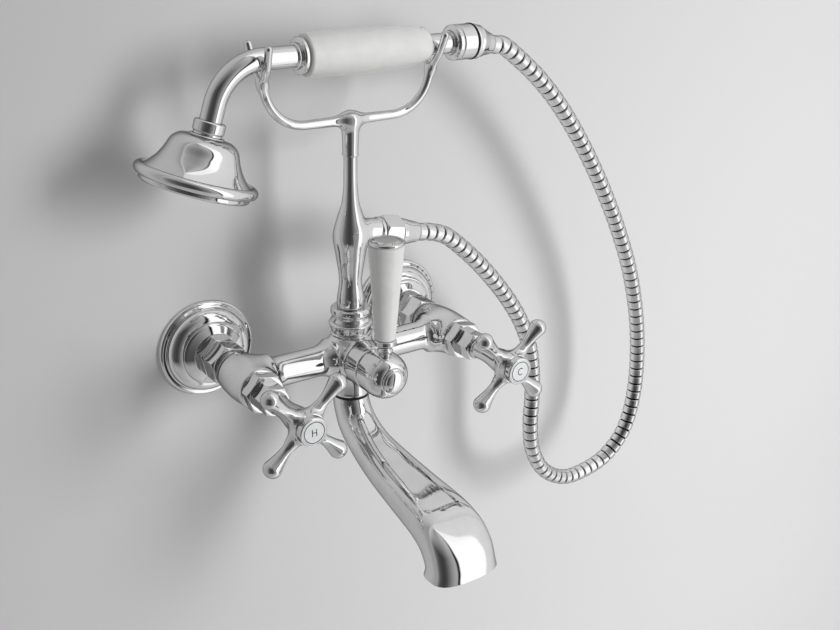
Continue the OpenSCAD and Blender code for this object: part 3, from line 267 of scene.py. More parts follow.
class Slot(Enum):
    """The material slots, each with its name and finish."""

    # Bright nickel-chrome plate on polished brass castings: sharp, neutral reflections that ripple
    # a little where the casting was polished by hand, and a darker line towards each edge.
    CHROME = ("chrome", Finish(
        "chromium_plated_brass", "#F2F2F2", "#EBEBEC", roughness=(0.02, 0.06), mottle_mm=14.0,
        relief_mm=16.0, relief_depth_mm=0.05, relief_strength=0.05, metallic=1.0, edge="#8C8C8D"))
    # Wound brass strip under the same plate: bright turns, a little duller than the castings, with
    # painted shade as a thin black line in the groove where one turn ends and the next begins.
    HOSE_CHROME = ("hose_chrome", WoundFinish(
        "chromium_plated_strip", "#F2F2F2", "#E8E8E9", roughness=(0.14, 0.22), mottle_mm=5.0,
        relief_mm=3.0, relief_depth_mm=0.03, relief_strength=0.06, metallic=1.0, edge="#6E6E6F"))
    # Turned brass inside the fittings: warm and half dull, with a fine grain.
    BRASS = ("brass", Finish(
        "turned_brass", "#C9A961", "#B8954D", roughness=(0.22, 0.36), mottle_mm=3.0,
        relief_mm=0.8, relief_depth_mm=0.03, relief_strength=0.25, metallic=1.0))
    # Slip-cast porcelain under clear glaze: milky white, deep gloss, a faint unevenness.
    PORCELAIN = ("porcelain", Finish(
        "glazed_porcelain", "#EEEEEC", "#E8E8E6", roughness=(0.1, 0.2), mottle_mm=9.0,
        relief_mm=12.0, relief_depth_mm=0.05, relief_strength=0.06, ior=1.5, coat=0.25))
    # Fired enamel on the index discs: cooler white than the porcelain, with a soft orange peel.
    ENAMEL = ("enamel", Finish(
        "fired_enamel", "#EEF0F0", "#E4E7E8", roughness=(0.07, 0.16), mottle_mm=3.0,
        relief_mm=1.6, relief_depth_mm=0.02, relief_strength=0.12, ior=1.54, coat=0.5))
    # Sintered alumina discs of the valves: matt ivory with a ground face.
    VALVE_CERAMIC = ("valve_ceramic", Finish(
        "ground_alumina", "#E8E2D4", "#DDD6C6", roughness=(0.38, 0.5), mottle_mm=2.0,
        relief_mm=0.5, relief_depth_mm=0.02, relief_strength=0.3, ior=1.76))
    # Moulded nitrile rubber of the seals and rings: near black, dull, with a fine grain.
    SEAL_RUBBER = ("seal_rubber", Finish(
        "nitrile_rubber", "#1B1C1D", "#141516", roughness=(0.5, 0.68), mottle_mm=2.0,
        relief_mm=0.4, relief_depth_mm=0.03, relief_strength=0.4, ior=1.52))

    def __init__(self, slot_name: str, finish: Finish) -> None:
        """Keep the slot's name beside its finish."""
        self.slot_name = slot_name
        self.finish = finish

    @property
    def material(self) -> bpy.types.Material:
        """The material of the slot's finish."""
        return self.finish.shared()


# Fired black ceramic ink on the index discs: a dark line with the enamel's gloss.
INDEX_INK = Finish(
    "fired_black_ink", "#2A2B2D", "#202123", roughness=(0.12, 0.22), mottle_mm=2.0,
    relief_mm=0.8, relief_depth_mm=0.01, relief_strength=0.15, ior=1.52, coat=0.3)


# Surfaces


@dataclass(frozen=True)
class Axes:
    """A local frame: its origin in millimetres and the directions of its x, y and z."""

    origin: tuple[float, float, float]
    x: tuple[float, float, float] = (1.0, 0.0, 0.0)
    y: tuple[float, float, float] = (0.0, 1.0, 0.0)
    z: tuple[float, float, float] = (0.0, 0.0, 1.0)

    def place(self, local: np.ndarray) -> np.ndarray:
        """Local points as points of the shared frame, both in millimetres."""
        return np.asarray(self.origin) + local @ np.array([self.x, self.y, self.z])

    def inside(self, points: np.ndarray) -> np.ndarray:
        """Points of the shared frame as local points, both in millimetres."""
        return (points - np.asarray(self.origin)) @ np.array([self.x, self.y, self.z]).T

    def along(self, distance: float) -> "Axes":
        """The same directions with the origin moved along z."""
        moved = self.place(np.array([0.0, 0.0, distance]))
        return Axes(tuple(float(v) for v in moved), self.x, self.y, self.z)


def from_wall(x: float) -> Axes:
    """Axes on the wall at x whose z runs out of the wall."""
    return Axes((x, 0.0, 0.0), (1.0, 0.0, 0.0), (0.0, 0.0, 1.0), (0.0, -1.0, 0.0))


def dipped(x: float, z: float, dip_deg: float) -> Axes:
    """Axes in the column's plane whose z runs towards +X and down by an angle."""
    c, s = math.cos(math.radians(dip_deg)), math.sin(math.radians(dip_deg))
    return Axes((x, -AXIS_DEPTH, z), (-s, 0.0, -c), (0.0, 1.0, 0.0), (c, 0.0, -s))


def in_column_plane(flat: np.ndarray) -> np.ndarray:
    """Points of X and Z as points in the column's plane."""
    return np.column_stack([flat[:, 0], np.full(len(flat), -AXIS_DEPTH), flat[:, 1]])


COLUMN = Axes((0.0, -AXIS_DEPTH, 0.0))
OUTLET = dipped(0.0, OUTLET_Z, HOSE_DIP_DEG)


@dataclass(frozen=True)
class Shell:
    """A closed surface in millimetres: its points and the corners of its four- and three-sided faces."""

    points: np.ndarray
    quads: np.ndarray
    tris: np.ndarray

    def outward(self) -> "Shell":
        """Turn every face round where the shell's signed volume is negative.

        The volume is the sum of the tetrahedra from the points' mean to each triangle.

        Returns:
            The same shell with its faces outward.
        """
        split = np.vstack([self.quads[:, [0, 1, 2]], self.quads[:, [0, 2, 3]], self.tris])
        a, b, c = (self.points[split[:, k]] - self.points.mean(axis=0) for k in range(3))
        if np.einsum("ij,ij->i", a, np.cross(b, c)).sum() >= 0:
            return self
        return Shell(self.points, self.quads[:, ::-1], self.tris[:, ::-1])


def flow(points: Outline, steps: int = 8) -> np.ndarray:
    """Draw a smooth line through every point.

    Between two points it is a cubic whose slope at each point is half the step between that
    point's neighbours.

    Args:
        points: the points, in any number of dimensions.
        steps: pieces between two points.

    Returns:
        The points of the line.
    """
    p = np.asarray(points, float)
    q = np.vstack([p[:1], p, p[-1:]])
    a, b, c, d = (m[:, None, :] for m in (q[:-3], q[1:-2], q[2:-1], q[3:]))
    t = np.linspace(0, 1, steps, endpoint=False)[None, :, None]
    line = b + 0.5 * t * (c - a + t * (2 * a - 5 * b + 4 * c - d + t * (3 * (b - c) + d - a)))
    return np.vstack([line.reshape(-1, p.shape[1]), p[-1:]])


def soften(points: Outline, cut: float = 0.35, steps: int = 5) -> np.ndarray:
    """Round every corner of an outline.

    Each corner becomes a parabola that leaves its two sides a cut's length before the corner, or
    at under half of a short side. One more point on each side keeps long faces flat.

    Args:
        points: the outline's corners.
        cut: length taken off each side of a corner.
        steps: points of each parabola.

    Returns:
        The rounded outline.
    """
    p = np.asarray(points, float)
    corner = p[1:-1, None, :]
    rows = []
    for side in (p[:-2] - p[1:-1], p[2:] - p[1:-1]):
        reach = np.linalg.norm(side, axis=1, keepdims=True)
        unit = side / reach
        rows.append((unit * np.minimum(cut, 0.3 * reach), unit * np.minimum(2 * cut, 0.48 * reach)))
    start, end = (corner + row[0][:, None, :] for row in rows)
    before, after = (corner + row[1][:, None, :] for row in rows)
    t = np.linspace(0, 1, steps)[None, :, None]
    arc = (1 - t) ** 2 * start + 2 * t * (1 - t) * corner + t ** 2 * end
    body = np.concatenate([before, arc, after], axis=1).reshape(-1, p.shape[1])
    return np.vstack([p[:1], body, p[-1:]])


def quarter(r0: float, z0: float, r1: float, z1: float, steps: int = 10) -> np.ndarray:
    """A quarter of an ellipse from (r0, z0), where it runs along z, to (r1, z1)."""
    t = np.linspace(0, math.pi / 2, steps)
    return np.column_stack([r1 + (r0 - r1) * np.cos(t), z0 + (z1 - z0) * np.sin(t)])


def skin(grid: np.ndarray, loop: bool = False) -> Shell:
    """Close a grid of points into a shell.

    Columns always run round and meet. Rows meet too in a loop, and otherwise each end row is
    closed by a fan to the middle of the row.

    Args:
        grid: points as rows, columns and coordinates.
        loop: whether the last row joins the first.

    Returns:
        The closed shell.
    """
    rows, columns = grid.shape[:2]
    index = np.arange(rows * columns).reshape(rows, columns)
    across = np.roll(index, -1, axis=1)
    a, b = (np.vstack([m, m[:1]]) if loop else m for m in (index, across))
    quads = np.stack([a[:-1], b[:-1], b[1:], a[1:]], axis=-1).reshape(-1, 4)
    points = grid.reshape(-1, 3)
    tris = np.empty((0, 3), int)
    if not loop:
        first, last = len(points), len(points) + 1
        points = np.vstack([points, grid[0].mean(axis=0), grid[-1].mean(axis=0)])
        tris = np.vstack([
            np.stack([across[0], index[0], np.full(columns, first)], axis=-1),
            np.stack([index[-1], across[-1], np.full(columns, last)], axis=-1),
        ])
    return Shell(points, quads, tris).outward()


def without_poles(outline: np.ndarray) -> np.ndarray:
    """Drop the ends of an outline that lie on the axis, because a fan closes them."""
    kept = outline[np.r_[True, np.linalg.norm(np.diff(outline, axis=0), axis=1) > 1e-6]]
    return kept[(kept[:, 0] > 1e-6) | (np.arange(len(kept)) % (len(kept) - 1) > 0)]


def turned(outline: Outline, axes: Axes, loop: bool = False, columns: int = 96) -> Shell:
    """Turn an outline about the z of its axes, as on a lathe.

    A point of the grid is (r cos a, r sin a, z) for each point (r, z) of the outline and each
    angle a of a full turn.

    Args:
        outline: radius and height of each point.
        axes: where the piece stands.
        loop: whether the outline closes on itself, as in a ring.
        columns: angles in a full turn.

    Returns:
        The turned shell.
    """
    line = without_poles(np.asarray(outline, float))
    angle = np.linspace(0, 2 * math.pi, columns, endpoint=False)
    r, z = line[:, :1], np.repeat(line[:, 1:2], columns, axis=1)
    grid = np.stack([r * np.cos(angle), r * np.sin(angle), z], axis=-1)
    return skin(axes.place(grid), loop)


def length_of(line: np.ndarray) -> float:
    """Length of a line through its points."""
    return float(np.linalg.norm(np.diff(line, axis=0), axis=1).sum())


def at_shares(line: np.ndarray, shares: np.ndarray) -> np.ndarray:
    """Points of a line at shares of its length.

    Args:
        line: points of the line.
        shares: numbers from 0 at its start to 1 at its end.

    Returns:
        The new points.
    """
    run = np.r_[0, np.cumsum(np.linalg.norm(np.diff(line, axis=0), axis=1))]
    return np.column_stack([np.interp(shares * run[-1], run, line[:, k]) for k in range(line.shape[1])])


def evenly(line: np.ndarray, spacing: float) -> np.ndarray:
    """Points of a line at even distances along it, with both ends kept."""
    return at_shares(line, np.linspace(0, 1, max(2, int(round(length_of(line) / spacing)) + 1)))


def crowded(count: int) -> np.ndarray:
    """Shares from 0 to just under 1 that crowd towards both ends, as half a cosine wave does."""
    return 0.5 - 0.5 * np.cos(np.linspace(0, math.pi, count, endpoint=False))


def tip_radius(across_flats: float) -> float:
    """Radius of a hexagon's six corners."""
    return across_flats / 2 / math.cos(math.pi / 6)


def hexagonal(outline: Outline, across_flats: float, axes: Axes, turn_deg: float) -> Shell:
    """Turn an outline and mill six flats on it.

    The flats' radius at an angle is half the width across the flats over a high power mean of
    the cosines to the six flats, which rounds the arrises a little. Each point's radius is the
    soft least of that and of the turned outline. Columns crowd towards the arrises.

    Args:
        outline: radius and height of the turned blank.
        across_flats: distance between two opposite flats.
        axes: where the piece stands.
        turn_deg: turn of the flats about the axis.

    Returns:
        The milled shell.
    """
    per_flat, spacing = 22, 0.22
    # Powers that set how sharp the arrises and the edges of the bevels are
    arris, edge = 150.0, 110.0
    line = evenly(without_poles(soften(outline, 0.2)), spacing)
    flats = np.radians(turn_deg) + np.arange(6) * math.pi / 3
    angle = (flats[:, None] + (crowded(per_flat) - 0.5) * math.pi / 3).ravel()
    near = np.maximum(np.cos(angle[:, None] - flats), 0) ** arris
    flat_r = across_flats / 2 / near.sum(axis=1) ** (1 / arris)
    r = np.maximum(line[:, :1], 1e-3)
    small, large = np.minimum(flat_r, r), np.maximum(flat_r, r)
    least = small * (1 + (small / large) ** edge) ** (-1 / edge)
    z = np.repeat(line[:, 1:2], len(angle), axis=1)
    grid = np.stack([least * np.cos(angle), least * np.sin(angle), z], axis=-1)
    return skin(axes.place(grid))


def swept(path: np.ndarray, radii: Union[float, np.ndarray], side: Sequence[float], columns: int = 40,
          flat: float = 1.0) -> Shell:
    """Carry a round section along a path that lies square to one direction.

    A point of the grid is the path's point plus the radius times (cos a across + sin a side),
    where across is square to the path and to the side.

    Args:
        path: points in millimetres.
        radii: one radius, or one for each point.
        side: unit direction square to the path's plane.
        columns: points round the section.
        flat: part of the radius that is kept along the side.

    Returns:
        The swept shell.
    """
    along = np.gradient(path, axis=0)
    along /= np.linalg.norm(along, axis=1, keepdims=True)
    across = np.cross(along, np.asarray(side, float))
    angle = np.linspace(0, 2 * math.pi, columns, endpoint=False)
    ring = (np.cos(angle)[None, :, None] * across[:, None, :]
            + flat * np.sin(angle)[None, :, None] * np.asarray(side, float))
    reach = np.broadcast_to(np.asarray(radii, float).reshape(-1, 1), ring.shape[:2])
    return skin(path[:, None, :] + reach[:, :, None] * ring)


# Cast forms: solids given by their distance to every point, blended and then meshed


def cast_turned(outline: Outline, axes: Axes) -> Field:
    """Distance to a turned solid.

    In the plane of radius and height it is the distance to the nearest side of the outline,
    negative inside. A table of it at fine steps is read by straight interpolation.

    Args:
        outline: radius and height of each corner, from axis to axis.
        axes: where the solid stands.

    Returns:
        The distance as a function of points in millimetres.
    """
    line = np.asarray(outline, float)
    step, margin = 0.2, 9.0
    low = np.array([0.0, line[:, 1].min() - margin])
    size = np.ceil((line.max(axis=0) + margin - low) / step).astype(int) + 1
    r, z = np.meshgrid(*(low[k] + step * np.arange(size[k]) for k in range(2)), indexing="ij")
    least, inside = np.full(r.shape, FAR), np.zeros(r.shape, bool)
    for (r0, z0), (r1, z1) in zip(line, np.roll(line, -1, axis=0)):
        if z0 != z1:
            crosses = (z0 <= z) != (z1 <= z)
            inside ^= crosses & (r < r0 + (z - z0) * (r1 - r0) / (z1 - z0))
        if max(r0, r1) > 0:
            er, ez = r1 - r0, z1 - z0
            t = np.clip(((r - r0) * er + (z - z0) * ez) / max(er * er + ez * ez, 1e-12), 0, 1)
            least = np.minimum(least, np.hypot(r - r0 - t * er, z - z0 - t * ez))
    table = np.where(inside, -least, least)

    def distance(points: np.ndarray) -> np.ndarray:
        """Read the table, and add the way to it for points beyond its edge.

        Args:
            points: points in millimetres.

        Returns:
            Their distances.
        """
        local = axes.inside(points)
        asked = np.column_stack([np.hypot(local[:, 0], local[:, 1]), local[:, 2]])
        spot = np.clip((asked - low) / step, 0, size - 1.001)
        cell = spot.astype(int)
        u, v = (spot - cell).T
        i, k = cell.T
        read = ((1 - u) * ((1 - v) * table[i, k] + v * table[i, k + 1])
                + u * ((1 - v) * table[i + 1, k] + v * table[i + 1, k + 1]))
        return read + np.linalg.norm(asked - low - spot * step, axis=1)

    return distance


def cast_rod(path: np.ndarray, radii: np.ndarray) -> Field:
    """Distance to a rod: to the nearest of its straight pieces, less the radius there.

    Args:
        path: points of the rod's middle line.
        radii: a radius for each point.

    Returns:
        The distance as a function of points in millimetres.
    """

    def distance(points: np.ndarray) -> np.ndarray:
        """The least over the rod's pieces.

        Args:
            points: points in millimetres.

        Returns:
            Their distances.
        """
        least = np.full(len(points), FAR)
        for a, b, ra, rb in zip(path[:-1], path[1:], radii[:-1], radii[1:]):
            e = b - a
            t = np.clip((points - a) @ e / (e @ e), 0, 1)
            off = np.linalg.norm(points - a - t[:, None] * e, axis=1)
            least = np.minimum(least, off - ra - t * (rb - ra))
        return least

    return distance


def fused(forms: Sequence[Field], reach: float) -> Field:
    """Join solids with a fillet.

    Where two distances differ by less than the reach, a quarter of the square of what is left of
    the reach, over the reach, comes off the smaller one.

    Args:
        forms: distances of the solids.
        reach: width of the fillet in millimetres.

    Returns:
        The distance to the joined solid.
    """

    def distance(points: np.ndarray) -> np.ndarray:
        """Blend the solids one after the other.

        Args:
            points: points in millimetres.

        Returns:
            Their distances.
        """
        total = forms[0](points)
        for form in forms[1:]:
            other = form(points)
            left = np.maximum(reach - np.abs(total - other), 0)
            total = np.minimum(total, other) - left * left / (4 * reach)
        return total

    return distance


def meshed(field: Field, low: Sequence[float], high: Sequence[float], step: float) -> Shell:
    """Find the surface where a distance field is zero.

    Each cell of a grid that the surface passes through gets one point, at the mean of the
    crossings of its edges, and each crossed edge gets the face between its four cells. Then
    every point slides along the field's slope until it lies on the surface.

    Args:
        field: the distance as a function of points.
        low: lowest corner of the box that holds the solid.
        high: highest corner of that box.
        step: size of a cell in millimetres.

    Returns:
        The surface.
    """
    # Cells along a coarse block, and how near to the surface a block is refined, in blocks
    coarse, band = 4, 1.2
    # Slides onto the surface, the way to each side that gives the slope, and its least square
    rounds, nudge, least_slope = 4, 0.08, 0.2
    low = np.asarray(low, float)
    blocks = np.ceil((np.asarray(high, float) - low) / (step * coarse)).astype(int)
    count = blocks * coarse

    def corners(number: np.ndarray, spacing: float, offset: float) -> np.ndarray:
        """Points of a regular grid over the box."""
        ticks = [low[k] + offset + spacing * np.arange(number[k]) for k in range(3)]
        return np.stack(np.meshgrid(*ticks, indexing="ij"), axis=-1)

    # Coarse blocks first, and the exact distance only at corners near the surface
    rough = field(corners(blocks, step * coarse, step * coarse / 2).reshape(-1, 3)).reshape(blocks)
    value = rough.repeat(coarse, 0).repeat(coarse, 1).repeat(coarse, 2)
    spots = corners(count, step, 0.0)
    close = np.abs(value) < step * coarse * band
    value[close] = field(spots[close])
    solid = value < 0

    # Crossings of the edges along each axis: their sum and number in each cell, and their faces
    cells = count - 1
    total, hits = np.zeros((*cells, 3)), np.zeros(cells)
    faces = []
    window = [slice(0, -1), slice(1, None)]
    for axis in range(3):
        ends = [tuple(s if k == axis else slice(None) for k in range(3)) for s in window]
        v0, v1 = value[ends[0]], value[ends[1]]
        crossed = solid[ends[0]] != solid[ends[1]]
        share = np.where(crossed, v0 / np.where(crossed, v0 - v1, 1), 0)
        point = spots[ends[0]].copy()
        point[..., axis] += share * step
        others = [k for k in range(3) if k != axis]
        for first in window:
            for second in window:
                part = [slice(None)] * 3
                part[others[0]], part[others[1]] = first, second
                mask = crossed[tuple(part)]
                total[mask] += point[tuple(part)][mask]
                hits[mask] += 1
        inner = [slice(None)] * 3
        inner[others[0]] = inner[others[1]] = slice(1, -1)
        at = np.argwhere(crossed[tuple(inner)])
        outwards = solid[ends[0]][tuple(inner)][tuple(at.T)]
        at = at + [0 if k == axis else 1 for k in range(3)]
        u, v = np.eye(3, dtype=int)[others[0]], np.eye(3, dtype=int)[others[1]]
        ring = np.stack([at - u - v, at - v, at, at - u], axis=1)
        turn = outwards if axis != 1 else ~outwards
        ring[~turn] = ring[~turn][:, ::-1]
        faces.append(ring)

    # One point for each crossed cell, slid along the slope onto the surface
    used = hits > 0
    number = np.full(cells, -1)
    number[used] = np.arange(used.sum())
    quads = number[tuple(np.concatenate(faces).reshape(-1, 3).T)].reshape(-1, 4)
    points = total[used] / hits[used][:, None]
    for _ in range(rounds):
        rises = [field(points + nudge * e) - field(points - nudge * e) for e in np.eye(3)]
        slope = np.stack(rises, axis=-1) / (2 * nudge)
        steep = np.maximum((slope ** 2).sum(axis=1), least_slope)
        points = points - (field(points) / steep)[:, None] * slope
    return Shell(points, quads, np.empty((0, 3), int)).outward()


# Pieces


def make_piece(
    name: str,
    shells: Sequence[Shell],
    slot: Slot,
    body: Optional[Body],
    stands_for: Sequence[str] = (),
    crease_deg: float = 40.0,
    material: Optional[bpy.types.Material] = None,
) -> bpy.types.Object:
    """Put shells into one mesh object, dress it and set it on its body.

    Args:
        name: the piece's name.
        shells: closed surfaces in millimetres.
        slot: the slot that gives the finish.
        body: the body that carries it, or none for a piece that is set on no body.
        stands_for: CAD nodes that it replaces.
        crease_deg: angle above which an edge stays sharp.
        material: another material than the slot's.

    Returns:
        The new object.
    """
    starts = np.cumsum([0] + [len(s.points) for s in shells])
    points = np.vstack([s.points for s in shells]) * MM
    faces = []
    for shell, start in zip(shells, starts):
        faces += (shell.quads + start).tolist() + (shell.tris + start).tolist()
    mesh = bpy.data.meshes.new(name)
    mesh.from_pydata(points.tolist(), [], faces)
    mesh.validate()
    mesh.shade_smooth()
    mesh.set_sharp_from_angle(angle=math.radians(crease_deg))
    mesh.materials.append(material or slot.material)
    made = bpy.data.objects.new(name, mesh)
    bpy.context.scene.collection.objects.link(made)
    if body is not None:
        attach(made, body.value)
    if stands_for:
        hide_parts(*stands_for)
    LOG.info("%s: %d faces in %s", name, len(mesh.polygons), mesh.materials[0].name)
    return made


def map_winding(mesh: bpy.types.Mesh, shares: np.ndarray) -> None:
    """Give every corner of a mesh its point's shares round and along as U and V.

    Args:
        mesh: the mesh to map.
        shares: U and V of each point.
    """
    corner = np.empty(len(mesh.loops), np.int32)
    mesh.loops.foreach_get("vertex_index", corner)
    layer = mesh.uv_layers.new(name="winding")
    layer.data.foreach_set("uv", shares[corner].astype(np.float32).ravel())


@dataclass
class WallUnion:
    """One supply's wall fittings: the stepped flange and the union nut."""

    side: Side
    flange_r: float = 32.5
    flange_h: float = 15.3
    ring_r: float = 20.0
    crown_r: float = 14.5
    tail_r: float = 10.6
    nut_z: tuple[float, float] = (15.4, 36.9)
    nut_flats: float = 24.0
    nut_turn_deg: float = 12.0
    groove_at: float = 0.36

    def build(self) -> None:
        """Make the flange and the nut on the supply's own axis."""
        axes, label = from_wall(self.side.value * INLET_X), self.side.label
        flange = turned(self.flange_outline(), axes, loop=True)
        make_piece(f"flange_{label}", [flange], Slot.CHROME, Body.MIXER, [f"wall_flange_{label}"])
        nut = hexagonal(self.nut_outline(), self.nut_flats, axes, self.nut_turn_deg)
        make_piece(f"nut_{label}", [nut], Slot.CHROME, Body.MIXER, [f"union_nut_{label}"])

    def flange_outline(self) -> np.ndarray:
        """Rim, step, dome and ring of the flange, round to its hollow back.

        Returns:
            Radius and height of each point.
        """
        r, h, ring, bore = self.flange_r, self.flange_h, self.ring_r, self.tail_r
        back = [[bore, h - 3], [ring - 4, h - 5], [r - 6, 1.8], [r - 6, 0]]
        rim = [[r, 0], [r, 2.4], [r - 1, 3.4], [r - 3.6, 3.5]]
        dome = quarter(r - 4.2, 3.9, ring, h - 4.4)
        step = [[ring + 0.7, h - 4.1], [ring + 0.7, h - 2.9], [ring - 0.6, h - 2.0]]
        crown = [[self.crown_r, h], [bore, h], [bore, h - 1.5]]
        return soften(np.vstack([back, rim, dome, step, crown]), 0.35, 4)

    def nut_outline(self) -> Outline:
        """Turned blank of the nut: bevelled ends and a groove between its two bands.

        Returns:
            Radius and height of each corner.
        """
        z0, z1 = self.nut_z
        tip = tip_radius(self.nut_flats)
        groove = z0 + (z1 - z0) * self.groove_at
        lower = [(0, z0), (tip - 1.6, z0), (tip + 0.2, z0 + 1.1), (tip + 0.2, groove - 1.3)]
        upper = [(tip + 0.2, groove + 1.3), (tip + 0.2, z1 - 1.1), (tip - 1.6, z1), (0, z1)]
        return [*lower, (tip - 2.4, groove), *upper]


@dataclass
class MixerBody:
    """The casting: two legs, the cross arm, the hub and the diverter's barrel in one fillet."""

    spigot_z: float = 26.0
    spigot_r: float = 10.3
    leg_r: float = 14.4
    leg_front: float = 77.0
    arm_r: float = 9.7
    # Trumpets of the arm: the arc's radius, its length along X, and where the arm is level beside it
    hub_trumpet: tuple[float, float, float] = (17.0, 10.2, 27.2)
    leg_trumpet: tuple[float, float, float] = (10.0, 7.5, 52.6)
    hub_r: float = 15.0
    neck_r: float = 12.0
    hub_top: float = 14.0
    hub_drop: float = 27.9
    barrel_front: float = 30.0
    fillet: float = 5.0
    cell: float = 0.9

    def build(self) -> None:
        """Cast the forms into one surface."""
        along_x = Axes(COLUMN.origin, (0, 1, 0), (0, 0, 1), (1, 0, 0))
        forms = [
            cast_turned(self.hub_outline(), COLUMN),
            cast_turned(self.arm_outline(), along_x),
            cast_turned(self.barrel_outline(), from_wall(0).along(AXIS_DEPTH)),
        ]
        forms += [cast_turned(self.leg_outline(), from_wall(side.value * INLET_X)) for side in Side]
        reach = INLET_X + self.leg_r + 2
        low = (-reach, -AXIS_DEPTH - self.barrel_front - 2, -self.hub_drop - 2)
        high = (reach, 4 - self.spigot_z, self.hub_top + 12)
        shell = meshed(fused(forms, self.fillet), low, high, self.cell)
        make_piece("body_casting", [shell], Slot.CHROME, Body.MIXER, ["mixer_body"], crease_deg=50)

    def leg_outline(self) -> np.ndarray:
        """Bulged leg from the spigot in the union nut to the valve's seat.

        Returns:
            Radius and height of each point.
        """
        r, front, root = self.leg_r, self.leg_front, self.spigot_z + 11
        spigot = [[0, self.spigot_z], [self.spigot_r, self.spigot_z], [self.spigot_r, root]]
        side = flow([[self.spigot_r + 1, root], [r - 1.3, 43], [r - 0.2, 53], [r, 62],
                     [r - 0.6, front - 6], [r - 0.9, front - 1.4]])
        return np.vstack([spigot, side, [[r - 1.9, front], [0, front]]])

    def arm_outline(self) -> np.ndarray:
        """Cross arm along X with a trumpet at the hub and a smaller one at each leg.

        Returns:
            Radius and height of each point.
        """
        hub_arc, hub_len, hub_x = self.hub_trumpet
        leg_arc, leg_len, leg_x = self.leg_trumpet
        hub, leg = np.linspace(hub_len, 0, 9), np.linspace(0, leg_len, 7)
        right = np.vstack([
            np.column_stack([self.arm_r + hub_arc - np.sqrt(hub_arc ** 2 - hub ** 2), hub_x - hub]),
            np.column_stack([self.arm_r + leg_arc - np.sqrt(leg_arc ** 2 - leg ** 2), leg_x + leg]),
            [[self.arm_r + 3.4, INLET_X]],
        ])
        left = right[::-1] * [1, -1]
        return np.vstack([[[0, -INLET_X]], left, right, [[0, INLET_X]]])

    def hub_outline(self) -> np.ndarray:
        """Pear-shaped hub with a bead under the riser nut and a straight neck over the spout.

        Returns:
            Radius and height of each point.
        """
        n, r, top, drop = self.neck_r, self.hub_r, self.hub_top, self.hub_drop
        bead = [[0, top], [n, top], [n + 0.5, top - 1], [n + 0.5, top - 2.4]]
        side = flow([[n, top - 3], [r - 0.6, 5], [r, 0], [r - 0.8, -8], [n + 0.6, -16],
                     [n, -drop + 4], [n, -drop + 1]])
        return np.vstack([bead, side, [[n - 1, -drop], [0, -drop]]])

    def barrel_outline(self) -> Outline:
        """Barrel that runs forward to the diverter's dome, with a step at its root.

        Returns:
            Radius and height of each corner.
        """
        r, front = BARREL_R, self.barrel_front
        root = [(0, 0), (r - 1.6, 0), (r - 1.6, 14.8), (r, 16.8)]
        return [*root, (r, front - 0.8), (r - 0.8, front), (0, front)]


@dataclass
class Valve:
    """One supply's bonnet and gland nut."""

    side: Side
    bonnet_z: tuple[float, float] = (77.0, 85.0)
    bonnet_flats: float = 23.0
    bonnet_bevel: float = 1.3
    gland_z: tuple[float, float] = (85.0, 97.0)
    gland_flats: float = 17.0
    gland_bevel: float = 1.1
    turn_deg: float = 20.0

    def build(self) -> None:
        """Make the two hexagons on the supply's own axis."""
        axes, label = from_wall(self.side.value * INLET_X), self.side.label
        for name, node, span, flats, bevel in (
            ("bonnet", "valve_bonnet", self.bonnet_z, self.bonnet_flats, self.bonnet_bevel),
            ("gland", "gland_nut", self.gland_z, self.gland_flats, self.gland_bevel),
        ):
            nut = hexagonal(self.blank(span, flats, bevel), flats, axes, self.turn_deg)
            make_piece(f"{name}_{label}", [nut], Slot.CHROME, Body.MIXER, [f"{node}_{label}"])

    def blank(self, span: tuple[float, float], flats: float, bevel: float) -> Outline:
        """Turned blank of a hexagon, bevelled more at its front.

        Args:
            span: where it starts and ends on its axis.
            flats: width across its flats.
            bevel: size of its bevels.

        Returns:
            Radius and height of each corner.
        """
        (z0, z1), tip = span, tip_radius(flats)
        back = [(0, z0), (tip - bevel, z0), (tip + 0.2, z0 + 0.8 * bevel)]
        return [*back, (tip + 0.2, z1 - bevel), (tip - 1.4 * bevel, z1), (0, z1)]


